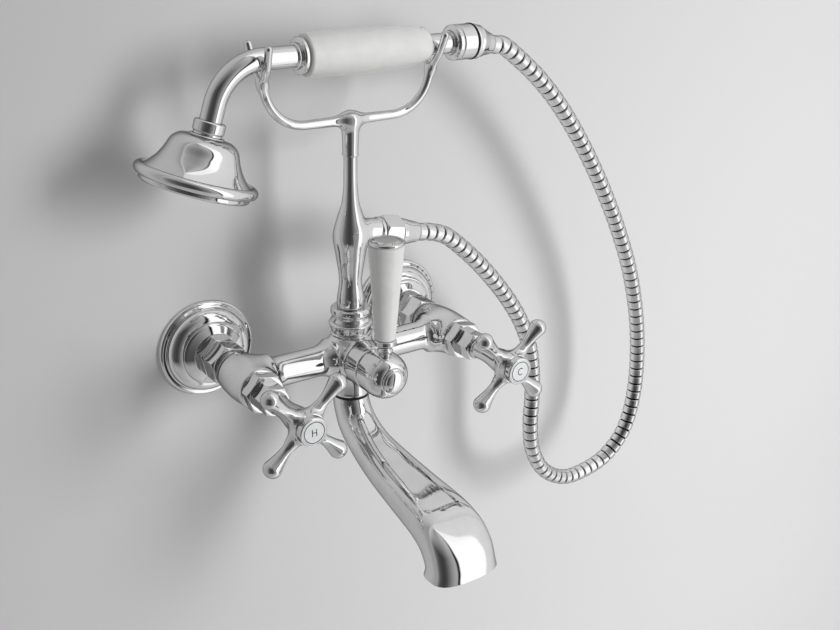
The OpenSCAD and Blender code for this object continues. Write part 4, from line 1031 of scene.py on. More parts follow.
@dataclass
class CrossHandle:
    """One supply's cross handle with its index cap, enamel disc, ring and letter."""

    side: Side
    foot_z: float = 97.3
    arm_z: float = 134.0
    top_z: float = 136.5
    neck_r: float = 6.1
    hub_r: float = 10.0
    reach: float = 36.0
    arm_r: float = 3.3
    end_r: float = 5.7
    cap_r: float = 9.0
    cap_h: float = 4.6
    skirt_r: float = 6.4
    enamel_r: float = 7.9
    # Index mark: the ring's radius, and half the width and height of its line and of the letter's
    ring_r: float = 6.5
    ring_line: tuple[float, float] = (0.26, 0.1)
    letter_line: tuple[float, float] = (0.32, 0.14)
    fillet: float = 4.0
    cell: float = 0.65

    @property
    def cap_z(self) -> float:
        """Foot of the cap, a hair above the hub."""
        return self.top_z + 0.1

    def build(self) -> None:
        """Make the handle and what sits on it."""
        axes, label, body = from_wall(self.side.value * INLET_X), self.side.label, self.side.handle_body
        plane = axes.along(self.arm_z - self.arm_r)
        half = math.sqrt(0.5)
        forms = [cast_turned(self.hub_outline(), axes)]
        for sx, sz in ((1, 1), (-1, 1), (-1, -1), (1, -1)):
            out, across = (half * sx, 0.0, half * sz), (-half * sz, 0.0, half * sx)
            forms.append(cast_turned(self.arm_outline(), Axes(plane.origin, across, (0, 1, 0), out)))
        x, wide = self.side.value * INLET_X, self.reach * half + self.end_r + 1
        low, high = (x - wide, -self.top_z - 3.5, -wide), (x + wide, 1.5 - self.foot_z, wide)
        shell = meshed(fused(forms, self.fillet), low, high, self.cell)
        make_piece(f"cross_{label}", [shell], Slot.CHROME, body, [f"cross_handle_{label}"], crease_deg=50)
        cap, disc = turned(self.cap_outline(), axes), turned(self.disc_outline(), axes)
        make_piece(f"cap_{label}", [cap], Slot.CHROME, body, [f"index_cap_{label}"])
        make_piece(f"disc_{label}", [disc], Slot.ENAMEL, body, [f"index_disc_{label}"])
        mark = self.mark(axes.along(self.cap_z + self.cap_h))
        make_piece(f"index_mark_{label}", mark, Slot.ENAMEL, body, material=INDEX_INK.shared())

    def hub_outline(self) -> np.ndarray:
        """Collar at the gland nut, slim neck and a bell that carries the arms.

        Returns:
            Radius and height of each point.
        """
        z, n, r, arm = self.foot_z, self.neck_r, self.hub_r, self.arm_z
        collar = [[0, z], [n + 0.8, z], [n + 0.8, z + 1.6]]
        side = flow([[n, z + 2.4], [n, z + 12], [n + 1.6, arm - 14], [r - 1.2, arm - 7], [r, arm - 2]])
        return np.vstack([collar, side, [[r - 0.6, self.top_z], [0, self.top_z]]])

    def arm_outline(self) -> np.ndarray:
        """Arm with a slim waist and a swelling end, rounded as half a ball.

        Returns:
            Radius and height of each point.
        """
        r, swell, waist, root = self.arm_r, self.reach - self.end_r, self.reach * 0.48, 2.0
        side = flow([[r + 1.6, root], [r + 0.9, (root + waist) * 0.62], [r, waist],
                     [r + 0.8, (waist + swell) * 0.5], [self.end_r, swell]])
        turn = np.linspace(0, math.pi / 2, 9)[1:]
        end = np.column_stack([self.end_r * np.cos(turn), swell + self.end_r * np.sin(turn)])
        return np.vstack([[[0, root]], side, end])

    def cap_outline(self) -> np.ndarray:
        """Skirt in the hub, rolled rim and the recess that holds the enamel.

        Returns:
            Radius and height of each point.
        """
        z, r, skirt, recess = self.cap_z, self.cap_r, self.skirt_r, self.enamel_r + 0.05
        foot = [[0, z - 5], [skirt, z - 5], [skirt, z], [r - 0.4, z], [r, z + 0.4]]
        rim = quarter(r, z + self.cap_h - 1.1, r - 0.75, z + self.cap_h, 6)
        floor = z + self.cap_h - 0.8
        inside = [[recess, z + self.cap_h], [recess, floor], [0, floor]]
        return soften(np.vstack([foot, rim, inside]), 0.18, 4)

    def disc_outline(self) -> np.ndarray:
        """Enamel disc with a soft edge and a low crown.

        Returns:
            Radius and height of each point.
        """
        top, r = self.cap_z + self.cap_h, self.enamel_r
        edge = [(0, top - 0.9), (r, top - 0.9), (r, top - 0.3), (r - 0.7, top - 0.05)]
        return soften([*edge, (3.5, top + 0.08), (0, top + 0.1)], 0.25)

    def mark(self, axes: Axes) -> list[Shell]:
        """Draw the plain ring and the supply's initial as flattened strokes on the enamel.

        Args:
            axes: the middle of the enamel's face.

        Returns:
            The ring and the letter's strokes.
        """
        section = np.linspace(0, 2 * math.pi, 8, endpoint=False)
        ring = np.column_stack([self.ring_r + self.ring_line[0] * np.cos(section),
                                0.02 + self.ring_line[1] * np.sin(section)])
        if self.side is Side.HOT:
            tall, wide = 2.2, 1.35
            posts = [[(x, -tall), (x, tall)] for x in (-wide, wide)]
            lines = [evenly(np.array(stroke, float), 0.4) for stroke in (*posts, [(-wide, 0), (wide, 0)])]
        else:
            turn = np.radians(np.linspace(48, 312, 40))
            lines = [np.column_stack([0.15 + 2.0 * np.cos(turn), 2.25 * np.sin(turn)])]
        paths = [axes.place(np.column_stack([line, np.full(len(line), 0.06)])) for line in lines]
        width, lift = self.letter_line
        letter = [swept(path, width, (0, -1, 0), 12, flat=lift / width) for path in paths]
        return [turned(ring, axes, loop=True), *letter]


@dataclass
class Diverter:
    """The turning dome, its front button and the porcelain lever."""

    dome_z: float = 89.3
    dome_h: float = 20.0
    button_r: float = 8.4
    button_h: float = 4.4
    lever_z: float = 99.3
    neck_r: float = 4.0
    ferrule_z: tuple[float, float] = (21.0, 24.5)
    grip_len: float = 61.5
    foot_r: float = 6.5
    top_r: float = 11.0
    cap_h: float = 3.2

    def build(self) -> None:
        """Make the dome, the button and the three pieces of the lever."""
        axes, lever = from_wall(0), Axes((0.0, -self.lever_z, 0.0))
        for name, node, outline, stand, slot, columns in (
            ("dome", "diverter_dome", self.dome_outline(), axes, Slot.CHROME, 128),
            ("button", "diverter_button", self.button_outline(), axes, Slot.CHROME, 96),
            ("lever_neck", "lever_stem", self.stem_outline(), lever, Slot.CHROME, 96),
            ("lever_porcelain", "lever_grip", self.grip_outline(), lever, Slot.PORCELAIN, 96),
            ("lever_top", "lever_cap", self.cap_outline(), lever, Slot.CHROME, 96),
        ):
            make_piece(name, [turned(outline, stand, columns=columns)], slot, Body.DIVERTER, [node])

    def dome_outline(self) -> np.ndarray:
        """Dome from the barrel's width to the button.

        Returns:
            Radius and height of each point.
        """
        foot = [[0, 0], [BARREL_R - 0.7, 0], [BARREL_R - 0.1, 0.6]]
        side = quarter(BARREL_R, self.dome_h * 0.42, self.button_r - 0.6, self.dome_h, 18)
        return np.vstack([foot, side, [[0, self.dome_h]]]) + [0, self.dome_z]

    def button_outline(self) -> np.ndarray:
        """Button with a straight edge, a step and a domed face.

        Returns:
            Radius and height of each point.
        """
        r = self.button_r
        edge = soften([[0, 0], [r, 0], [r, 1.3], [r - 0.8, 1.75], [r - 1.0, 1.9]], 0.25)
        face = quarter(r - 1.05, 1.95, 0, self.button_h, 14)
        return np.vstack([edge, face]) + [0, self.dome_z + self.dome_h + 0.1]

    def stem_outline(self) -> np.ndarray:
        """Neck with a bead over the dome, and the cup under the porcelain.

        Returns:
            Radius and height of each point.
        """
        n, (z0, z1), top, foot = self.neck_r, self.ferrule_z, BARREL_R, self.foot_r
        neck = flow([[n, top - 1], [n, top + 0.4], [n + 0.9, top + 1.9], [n, top + 3.6],
                     [n + 0.4, z0 - 1.2], [foot, z0]])
        cup = [[foot + 0.5, z0 + 0.6], [foot + 0.5, z1 - 0.6], [foot, z1], [0, z1]]
        return np.vstack([[[0, 5.3], [n, 5.3]], neck, soften([neck[-1], *cup], 0.3)[1:]])

    def grip_outline(self) -> np.ndarray:
        """Porcelain taper that widens upwards with rounded ends.

        Returns:
            Radius and height of each point.
        """
        foot, top = self.foot_r, self.top_r
        z0, z1 = self.ferrule_z[1] + 0.1, self.ferrule_z[1] + self.grip_len
        side = flow([[foot, z0 + 0.8], [(foot + top) * 0.5, z0 + self.grip_len * 0.5],
                     [top - 0.3, z1 - 6], [top, z1 - 0.8]])
        return soften(np.vstack([[[0, z0], [foot - 0.6, z0]], side, [[top - 0.7, z1], [0, z1]]]), 0.3, 4)

    def cap_outline(self) -> np.ndarray:
        """Flat cap with a thin rim round a low, nearly level crown.

        Returns:
            Radius and height of each point.
        """
        z, r, h = self.ferrule_z[1] + self.grip_len + 0.1, self.top_r, self.cap_h
        rim = [[0, 0], [r - 0.5, 0], [r, 0.5], [r, 1.7], [r - 0.5, 2.3], [r - 1.4, 2.3], [r - 1.7, 1.9]]
        return soften([*rim, [r - 2.2, 2.2], [r - 4, h - 0.3], [0, h]], 0.3, 5) + [0, z]


@dataclass
class Riser:
    """The ringed riser nut and the baluster column with its hose outlet."""

    nut_z: tuple[float, float] = (14.1, 33.1)
    nut_r: float = 14.2
    ridge_h: float = 8.0
    foot_r: float = 8.8
    waist_r: float = 7.3
    bulge_r: float = 11.2
    neck_r: float = 4.2
    top_r: float = 3.3
    boss_r: float = 9.3
    boss_end: float = 22.2
    fillet: float = 4.0
    cell: float = 0.7

    def build(self) -> None:
        """Make the nut and cast the column with its boss."""
        nut = turned(self.nut_outline(), COLUMN, columns=120)
        make_piece("riser_ringed_nut", [nut], Slot.CHROME, Body.MIXER, ["riser_nut"])
        forms = [cast_turned(self.column_outline(), COLUMN), cast_turned(self.boss_outline(), OUTLET)]
        wide = self.bulge_r + 2
        low = (-wide, -AXIS_DEPTH - wide, self.nut_z[1] - 8)
        high = (self.boss_end + 4, -AXIS_DEPTH + wide, COLUMN_TOP + 3)
        shell = meshed(fused(forms, self.fillet), low, high, self.cell)
        make_piece("column", [shell], Slot.CHROME, Body.MIXER, ["riser_column"], crease_deg=50)

    def nut_outline(self) -> np.ndarray:
        """Bead, groove, ridge and waist of the nut, as rings on a lathe.

        Returns:
            Radius and height of each point.
        """
        (z0, z1), r = self.nut_z, self.nut_r
        ring, peak = r - 1.2, self.nut_z[0] + self.ridge_h
        bead = [[0, z0], [ring - 0.2, z0], [ring, z0 + 0.5], [ring, z0 + 1.6], [ring - 0.9, z0 + 2.2]]
        ridge = [[ring - 0.4, z0 + 3], [r - 0.3, peak - 0.9], [r, peak - 0.2], [r, peak + 0.3],
                 [r - 0.5, peak + 0.9], [ring - 0.7, peak + 1.5]]
        waist = flow([[ring - 0.2, peak + 2.4], [ring - 0.9, z1 - 6], [ring, z1 - 3.6], [ring - 0.3, z1 - 1]])
        return soften(np.vstack([bead, ridge, waist, [[ring - 1.2, z1], [0, z1]]]), 0.22, 4)

    def boss_outline(self) -> Outline:
        """Outlet boss with a collar at its end.

        Returns:
            Radius and height of each corner.
        """
        r, end = self.boss_r, self.boss_end
        collar = [(r, end - 2.6), (r, end - 0.6), (r - 0.6, end), (0, end)]
        return [(0, 0), (r - 1.2, 0), (r - 0.7, end - 3.2), *collar]

    def column_outline(self) -> np.ndarray:
        """Baluster: foot, waist, bulge and a long slim neck.

        Returns:
            Radius and height of each point.
        """
        z, out, foot, bulge, neck = self.nut_z[1], OUTLET_Z, self.foot_r, self.bulge_r, self.neck_r
        root = [[0, z - 5], [foot - 0.5, z - 5], [foot - 0.5, z + 0.1]]
        side = flow([
            [foot, z + 0.6], [foot - 0.1, z + 6], [self.waist_r, z + 18], [bulge - 1.8, out - 16],
            [bulge, out - 3], [bulge - 2.8, out + 9.1], [neck + 1.4, out + 18.2], [neck + 0.3, out + 27.8],
            [neck, out + 38.4], [neck, COLUMN_TOP],
        ])
        return np.vstack([root, side, [[self.top_r, COLUMN_TOP], [0, COLUMN_TOP]]])


@dataclass
class Cradle:
    """The socket, the two swept arms and the open forks that carry the hand shower."""

    arm_z: float = 153.1
    socket_r: float = 5.6
    socket_h: float = 26.6
    arm_r: float = 2.7
    # Swelling of the arms at the socket: what it adds to their radius, and how far out it ends
    swell_r: float = 2.0
    swell_x: float = 14.0
    bend_r: float = 27.0
    bend_deg: float = 75.0
    fork_x: float = 58.0
    fork_foot: float = 4.6
    prong_r: float = 2.2
    prong_lean_deg: tuple[float, float] = (34.0, 21.4)
    prong_len: tuple[float, float] = (14.495, 11.6)
    prong_out_deg: float = 5.0
    fillet: float = 5.0
    cell: float = 0.7

    def build(self) -> None:
        """Cast the socket, arms and forks into one surface."""
        bend = math.radians(self.bend_deg)
        fork_z = self.arm_z + self.bend_r * (1 - math.cos(bend)) + self.fork_foot * math.sin(bend)
        line = self.arm_line(bend, fork_z)
        radii = self.arm_r + self.swell_r * np.maximum(0, 1 - np.abs(line[:, 0]) / self.swell_x)
        forms = [cast_turned(self.socket_outline(), COLUMN.along(COLUMN_TOP)), cast_rod(line, radii)]
        for side in (-1, 1):
            prongs = self.fork_line(side, fork_z)
            forms.append(cast_rod(prongs, np.full(len(prongs), self.prong_r)))
        low = (-self.fork_x - 7, -AXIS_DEPTH - 18, COLUMN_TOP - 2)
        high = (self.fork_x + 7, -AXIS_DEPTH + 18, fork_z + 32)
        shell = meshed(fused(forms, self.fillet), low, high, self.cell)
        make_piece("cradle_forks", [shell], Slot.CHROME, Body.MIXER, ["cradle"], crease_deg=50)

    def socket_outline(self) -> np.ndarray:
        """Socket on the column's top with a foot ring and a domed end.

        Returns:
            Radius and height of each point.
        """
        r, level = self.socket_r, self.arm_z - COLUMN_TOP
        foot = [[0, 0.1], [r - 0.5, 0.1], [r - 0.4, 1.4], [r - 0.8, 1.8]]
        return np.vstack([foot, [[r - 0.3, 16], [r, level]], quarter(r, level, 0, self.socket_h, 8)])

    def arm_line(self, bend: float, fork_z: float) -> np.ndarray:
        """Middle line of both arms: level at the socket, then a bend up to each fork's foot.

        Args:
            bend: angle of the bend in radians.
            fork_z: height of the forks' feet.

        Returns:
            The points of the line, from left to right.
        """
        turn = np.linspace(0, bend, 14)
        start = self.fork_x - self.fork_foot * math.cos(bend) - self.bend_r * math.sin(bend)
        rise = self.arm_z + self.bend_r * (1 - np.cos(turn))
        half = np.column_stack([start + self.bend_r * np.sin(turn), rise])
        right = np.vstack([[[4, self.arm_z], [12, self.arm_z]], half, [[self.fork_x, fork_z]]])
        return in_column_plane(np.vstack([right[::-1] * [-1, 1], [[0, self.arm_z]], right]))

    def fork_line(self, side: int, fork_z: float) -> np.ndarray:
        """Middle line of one fork: up from its foot in two leans, front and back.

        Args:
            side: -1 for the left fork, 1 for the right one.
            fork_z: height of the fork's foot.

        Returns:
            The points of the line, from back to front.
        """
        low, high = np.radians(self.prong_lean_deg)
        lower = np.array([-math.sin(low), math.cos(low)])
        knee = self.prong_len[0] * lower
        tip = knee + self.prong_len[1] * np.array([-math.sin(high), math.cos(high)])
        front = np.array([4 * lower, knee, tip])
        line = flow(np.vstack([front[::-1] * [-1, 1], [[0, 1.2]], front]), 5)
        out = math.radians(self.prong_out_deg)
        return np.column_stack([side * (self.fork_x + line[:, 1] * math.sin(out)), -AXIS_DEPTH + line[:, 0],
                                fork_z + line[:, 1] * math.cos(out)])


@dataclass
class ShowerHose:
    """The ribbed hose of wound strip between the column's outlet and the handset."""

    groove: float = 0.9
    gap: float = 0.7
    shoulder: float = 0.6
    # Ends of the two ferrules, where the hose leaves them
    exit_xz: tuple[float, float] = (49.634, 74.348)
    end_xz: tuple[float, float] = (104.065, 190.779)
    straight: float = 12.0
    columns: int = 28
    rows_per_rib: int = 20
    cord_step: float = 3.0
    # Route in the column's plane: X and Z in millimetres, as in the part's source
    free_xz: Outline = (
        (73.9, 67.7), (89.8, 55.2), (108.5, 37.2), (129, 13.5), (144.5, -9.5), (154.5, -32), (159, -53.5),
        (160.5, -75), (160.5, -98), (164.5, -121), (177.3, -142.6), (199, -156.3), (222.5, -157.2),
        (246, -150), (264, -131), (271.3, -100.7), (270.4, -64), (263.9, -27.5), (251.5, 11),
        (233.4, 49.2), (212.8, 84.4), (191.2, 116.2), (168.9, 144), (147.8, 165), (128.8, 180),
    )

    def route(self) -> np.ndarray:
        """Middle line of the hose.

        A smooth line through the straight start at the outlet, the free points that hang under
        the hose's own weight, and the straight end at the handset.

        Returns:
            Points in millimetres, close together.
        """
        dip = math.radians(HOSE_DIP_DEG)
        ahead = np.array([0, 0.5, 1])[:, None] * self.straight * np.array([math.cos(dip), -math.sin(dip)])
        start, end = np.array(self.exit_xz) + ahead, np.array(self.end_xz) + ahead
        return in_column_plane(flow(np.vstack([start, self.free_xz, end[::-1]]), 12))

    def build(self) -> None:
        """Make the hose as one swept cord from the mixer to the handset, set on no body."""
        route = self.route()
        turn = np.repeat(np.arange(HOSE_TURNS), self.rows_per_rib)
        phase = np.tile(crowded(self.rows_per_rib), HOSE_TURNS)
        share = np.r_[(turn + phase) / HOSE_TURNS, 1.0]
        radii = self.ribbed(np.r_[phase, 0.0], length_of(route) / HOSE_TURNS)
        shell = swept(at_shares(route, share), radii, (0, 1, 0), self.columns)
        hose = make_piece("ribbed_hose", [shell], Slot.HOSE_CHROME, None, crease_deg=30)
        around = np.tile(np.arange(self.columns) / self.columns, len(share))
        along = np.repeat(share, self.columns)
        map_winding(hose.data, np.column_stack([np.r_[around, 0.5, 0.5], np.r_[along, 0.0, 1.0]]))
        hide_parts("hose")
        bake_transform(hose)

    def ribbed(self, phase: np.ndarray, pitch: float) -> np.ndarray:
        """Radius along the hose: level on each wound turn, with a narrow groove between turns.

        From half the gap's width outwards the groove's depth falls over the shoulder as three
        times the square less twice the cube of what is left of it.

        Args:
            phase: place in its turn of each row, from 0 at the gap before it.
            pitch: length of a turn in millimetres.

        Returns:
            A radius for each row.
        """
        from_gap = pitch * np.minimum(phase, 1 - phase)
        left = np.clip(1 - (from_gap - self.gap / 2) / self.shoulder, 0, 1)
        return HOSE_D / 2 - self.groove * left * left * (3 - 2 * left)


@dataclass
class HoseFittings:
    """The hexagon nut and ferrule at the column's outlet, and the nut and knuckle at the handset."""

    nut_s: tuple[float, float] = (22.3, 35.3)
    nut_flats: float = 19.0
    nut_turn_deg: float = 30.0
    ferrule_s: tuple[float, float] = (35.4, 50.4)
    hose_nut_x: tuple[float, float] = (72.3, 87.3)
    hose_nut_r: float = 11.0
    hose_nut_bore: float = 7.5
    ring_bore: float = 8.0
    ring_proud: float = 0.35
    knuckle_x: float = 88.8
    knuckle_len: float = 15.5

    def build(self) -> None:
        """Make both ends' fittings."""
        level = dipped(0.0, HANDSET_Z, 0.0)
        hexagon = hexagonal(self.hexagon_outline(), self.nut_flats, OUTLET, self.nut_turn_deg)
        make_piece("outlet_hexagon", [hexagon], Slot.CHROME, Body.MIXER, ["outlet_nut"])
        sleeve = turned(self.sleeve_outline(), OUTLET)
        make_piece("outlet_sleeve", [sleeve], Slot.CHROME, Body.MIXER, ["outlet_ferrule"])
        nut = turned(self.hose_nut_outline(), level, loop=True)
        make_piece("handset_hose_nut", [nut], Slot.CHROME, Body.HANDSET, ["hose_nut"])
        ring = turned(self.ring_outline(), level, loop=True)
        make_piece("black_ring", [ring], Slot.SEAL_RUBBER, Body.HANDSET, ["nut_ring"])
        make_piece("knuckle", self.knuckle(), Slot.CHROME, Body.HANDSET, ["hose_ferrule"])

    def hexagon_outline(self) -> Outline:
        """Turned blank of the outlet's nut.

        Returns:
            Radius and height of each corner.
        """
        (s0, s1), tip = self.nut_s, tip_radius(self.nut_flats)
        side = [(tip + 0.2, s0 + 1.1), (tip + 0.2, s1 - 1.1)]
        return [(0, s0), (tip - 1.2, s0), *side, (tip - 1.4, s1), (0, s1)]

    def sleeve_outline(self) -> np.ndarray:
        """Tapered ferrule from the outlet's nut to the hose.

        Returns:
            Radius and height of each point.
        """
        (s0, s1), r, hose = self.ferrule_s, self.nut_flats / 2, HOSE_D / 2
        wide = [(0, s0), (r - 1.2, s0), (r - 0.6, s0 + 0.8), (r - 0.8, s0 + 4)]
        slim = [(hose + 1.4, s1 - 4), (hose + 0.9, s1 - 0.6), (hose + 0.3, s1), (0, s1)]
        return soften([*wide, *slim], 0.4)

    def hose_nut_outline(self) -> np.ndarray:
        """Round nut at the handset: rounded front, a fine groove and a straight back.

        Returns:
            Radius and height of each point, round to the bore.
        """
        (x0, x1), r, bore = self.hose_nut_x, self.hose_nut_r, self.hose_nut_bore
        front = [(bore, x1), (bore, x0), (r - 2.2, x0), (r - 1.2, x0 + 0.4), (r, x0 + 1.6)]
        groove = [(r, x0 + 4.2), (r - 0.5, x0 + 4.7), (r, x0 + 5.2)]
        return soften([*front, *groove, (r, x1 - 0.3), (r - 0.3, x1), (bore + 0.1, x1)], 0.25)

    def ring_outline(self) -> np.ndarray:
        """Rubber ring that stands a little proud between the nut and the knuckle.

        Returns:
            Radius and height of each point, round to the bore.
        """
        x0, x1, r, bore = self.hose_nut_x[1], self.knuckle_x, self.hose_nut_r, self.ring_bore
        proud = r + self.ring_proud
        side = [(r, x0), (proud, x0 + 0.3), (proud, x1 - 0.3), (r, x1)]
        return soften([(bore, x1), (bore, x0), *side, (bore + 0.1, x1)], 0.2)

    def knuckle(self) -> list[Shell]:
        """Half ball under the nut and the dipping sleeve that grips the hose.

        Returns:
            The ball and the sleeve.
        """
        ball, hose, end = self.hose_nut_r - 0.2, HOSE_D / 2, self.knuckle_len
        turn = np.linspace(0, math.pi / 2, 14)
        side = np.column_stack([ball * np.cos(turn), 0.4 + (ball - 0.4) * np.sin(turn)])
        dome = np.vstack([[[0, 0.0], [ball - 0.2, 0.0]], side])
        back = ball * math.sin(math.radians(HOSE_DIP_DEG)) + 0.1
        wide = math.sqrt(ball ** 2 - back ** 2)
        taper = flow([[wide, 4.4], [hose + 3.4, 7.6], [hose + 2.2, 10.4], [hose + 0.9, end - 0.6]])
        sleeve = np.vstack([[[0, back], [wide, back]], taper, [[hose + 0.3, end], [0, end]]])
        return [turned(dome, dipped(self.knuckle_x, HANDSET_Z, 0.0)),
                turned(soften(sleeve, 0.3, 4), dipped(self.knuckle_x, HANDSET_Z, HOSE_DIP_DEG))]


@dataclass
class Spout:
    """The swivelling spout: a lofted shell from a round neck to a wide, flared mouth."""

    neck_r: float = 12.0
    top_z: float = -28.8
    reach: float = 124.0
    drop: float = 95.0
    mouth: tuple[float, float] = (23.4, 13.4)
    wall: float = 2.2
    # Shares of the wall at which the mouth's lip has its points
    lip_shares: tuple[float, ...] = (0.08, 0.3, 0.7, 0.92)
    spigot_r: float = 8.0
    spigot_top: float = -11.5
    columns: int = 112
    steps: int = 9

    def stations(self) -> np.ndarray:
        """Stations of the loft.

        Returns:
            For each station the reach and height of its middle, the path's lean from straight
            down in degrees, the section's half width and half height, and its squareness.
        """
        n, z, r, d = self.neck_r, self.top_z, self.reach, -self.drop
        w, h = self.mouth
        return np.array([
            [0, z, 0, n, n, 2], [1.4, z - 7, 14, n, n, 2], [8.5, z - 18, 44, n + 0.6, n - 0.6, 2.2],
            [24, d + 39, 66, n + 1.6, n - 1.6, 2.5], [r - 77, d + 32.7, 76, w - 7.4, h - 3.2, 2.9],
            [r - 50, d + 28, 79, w - 5.2, h - 3, 3.2], [r - 25, d + 24, 79, w - 3.2, h - 2.6, 3.4],
            [r - 11, d + 19, 60, w - 2.2, h - 1.9, 3.4], [r - 3.5, d + 12, 30, w - 1.6, h - 1.3, 3.2],
            [r - 0.5, d + 5.5, 8, w - 1.2, h - 0.8, 3], [r, d, 0, w, h, 2.9]])

    def section(self, rows: np.ndarray, inset: float) -> np.ndarray:
        """Carry a superellipse along the stations.

        At angle a the section's width is the signed power 2 / n of cos a, and its height that of
        sin a, where n is the squareness. The height leans with the path.

        Args:
            rows: stations of the loft.
            inset: wall to take off both half sizes.

        Returns:
            The grid of points.
        """
        a = -np.linspace(0, 2 * math.pi, self.columns, endpoint=False)
        power = (2 / rows[:, 5])[:, None]
        u = np.sign(np.cos(a)) * np.abs(np.cos(a)) ** power * (rows[:, 3] - inset)[:, None]
        v = np.sign(np.sin(a)) * np.abs(np.sin(a)) ** power * (rows[:, 4] - inset)[:, None]
        lean = np.radians(rows[:, 2])[:, None]
        y, z = -AXIS_DEPTH - rows[:, :1] - v * np.cos(lean), rows[:, 1:2] + v * np.sin(lean)
        return np.stack([u, y, z], axis=-1)

    def build(self) -> None:
        """Loft the outside, roll it over the mouth's lip and carry it back inside."""
        rows = flow(self.stations(), self.steps)
        inner = rows[::-1][:-2 * self.steps]
        lip = np.concatenate([self.section(rows[-1:], self.wall * share) for share in self.lip_shares])
        grid = np.concatenate([self.section(rows, 0.0), lip, self.section(inner, self.wall)])
        r, foot, top = self.spigot_r, self.top_z - 2, self.spigot_top
        spigot = turned([(0, foot), (r, foot), (r, top), (r - 2.8, top), (0, top)], COLUMN)
        make_piece("swan_spout", [skin(grid), spigot], Slot.CHROME, Body.SPOUT, ["spout"])


@dataclass
class HandShower:
    """The bent tube, the bell-shaped rose with its spray face, and the porcelain grip."""

    tube_r: float = 6.4
    bend_x: float = -56.6
    tube_end_x: float = -34.75
    bend_r: float = 33.0
    tilt_deg: float = 18.0
    neck_len: float = 9.0
    collar_r: float = 9.0
    collar_h: float = 8.0
    bell_h: float = 25.5
    bell_wall: float = 1.6
    bell_bore: float = 5.0
    rose_r: float = 35.3
    rim_r: float = 3.3
    lip_r: float = 30.0
    face_r: float = 31.5
    face_drop: float = 6.3
    face_cell: float = 0.55
    hole_r: float = 0.9
    hole_rings: int = 4
    ferrule_x: float = -38.0
    ferrule_r: float = 10.9
    grip_x: tuple[float, float] = (-31.5, 54.0)
    grip_r: float = 13.3
    rear_x: tuple[float, float] = (54.1, 82.3)
    thread_x: float = 71.3

    @property
    def rose(self) -> Axes:
        """Where the rose stands, at the end of the tube's bend and neck.

        Returns:
            Axes at the collar's top whose z runs down through the spray face.
        """
        sweep, tilt = math.radians(90 - self.tilt_deg), math.radians(self.tilt_deg)
        x = self.bend_x - self.bend_r * math.sin(sweep) - self.neck_len * math.cos(sweep)
        z = HANDSET_Z - self.bend_r * (1 - math.cos(sweep)) - self.neck_len * math.sin(sweep)
        c, s = math.cos(tilt), math.sin(tilt)
        return Axes((x, -AXIS_DEPTH, z), (-c, 0.0, s), (0.0, 1.0, 0.0), (-s, 0.0, -c))

    def build(self) -> None:
        """Make every piece of the hand shower."""
        axes, level = self.rose, dipped(0.0, HANDSET_Z, 0.0)
        tube = swept(self.tube_path(), self.tube_r, (0, 1, 0), 64)
        make_piece("bent_tube", [tube], Slot.CHROME, Body.HANDSET, ["handset_tube"])
        collar = turned(self.collar_outline(), axes)
        make_piece("collar", [collar], Slot.CHROME, Body.HANDSET, ["rose_collar"])
        bell = turned(self.bell_outline(), axes, loop=True, columns=144)
        make_piece("bell", [bell], Slot.CHROME, Body.HANDSET, ["rose_shell"])
        plate = self.spray_plate(axes)
        make_piece("spray_plate", [plate], Slot.CHROME, Body.HANDSET, ["rose_face"], crease_deg=50)
        front = turned(self.front_outline(), level)
        make_piece("front_sleeve", [front], Slot.CHROME, Body.HANDSET, ["front_ferrule"])
        grip = turned(self.grip_outline(), level, columns=120)
        make_piece("porcelain_grip", [grip], Slot.PORCELAIN, Body.HANDSET, ["handle_grip"])
        rear = turned(self.rear_outline(), level)
        make_piece("rear_sleeve", [rear], Slot.CHROME, Body.HANDSET, ["rear_ferrule"])

    def tube_path(self) -> np.ndarray:
        """Straight from the ferrule, round the bend and straight into the collar.

        Returns:
            The points of the tube's middle line.
        """
        sweep = np.radians(np.linspace(0, 90 - self.tilt_deg, 48))
        bend = np.column_stack([self.bend_x - self.bend_r * np.sin(sweep),
                                HANDSET_Z - self.bend_r * (1 - np.cos(sweep))])
        ahead = np.linspace(self.tube_end_x, self.bend_x, 6, endpoint=False)
        straight = np.column_stack([ahead, np.full(len(ahead), HANDSET_Z)])
        down = self.rose.place(np.array([[0, 0, -5.0], [0, 0, 0.0], [0, 0, 4.0]]))[:, [0, 2]]
        return in_column_plane(np.vstack([straight, bend, down]))

    def collar_outline(self) -> np.ndarray:
        """Collar between the tube and the bell, with a groove over the bell.

        Returns:
            Radius and height of each point.
        """
        r, h = self.collar_r, self.collar_h
        side = [(r - 0.7, 0), (r, 0.7), (r, h - 2.0), (r - 0.9, h - 1.2), (r - 0.6, h)]
        return soften([(0, 0), *side, (0, h)], 0.3)

    def bell_outline(self) -> np.ndarray:
        """Bell from the collar to the rolled rim, and back along its inside.

        Returns:
            Radius and height of each point.
        """
        r, h, bell, bore = self.collar_r, self.collar_h, self.bell_h, self.bell_bore
        rim_s, ring, steps = h + bell, self.rose_r - self.rim_r, 6
        outside = flow([
            [r + 0.6, h + 0.1], [r + 1.6, h + 0.9], [r + 6, h + 1.7], [r + 10, h + 5],
            [r + 12.6, h + bell * 0.44], [r + 16, h + bell * 0.68], [ring - 1, rim_s - 0.5 * self.rim_r],
        ], steps)
        turn = np.radians(np.linspace(-88, 130, 26))
        roll = np.column_stack([ring + self.rim_r * np.cos(turn), rim_s + self.rim_r * np.sin(turn)])
        lip = [[self.lip_r, rim_s + self.rim_r * 0.6], [self.lip_r, rim_s - 1.0]]
        inside = outside[::-steps][:-1] + [-self.bell_wall, self.bell_wall]
        return np.vstack([outside, roll, lip, inside, [[bore, h + 2.4], [bore, h + 0.1]]])

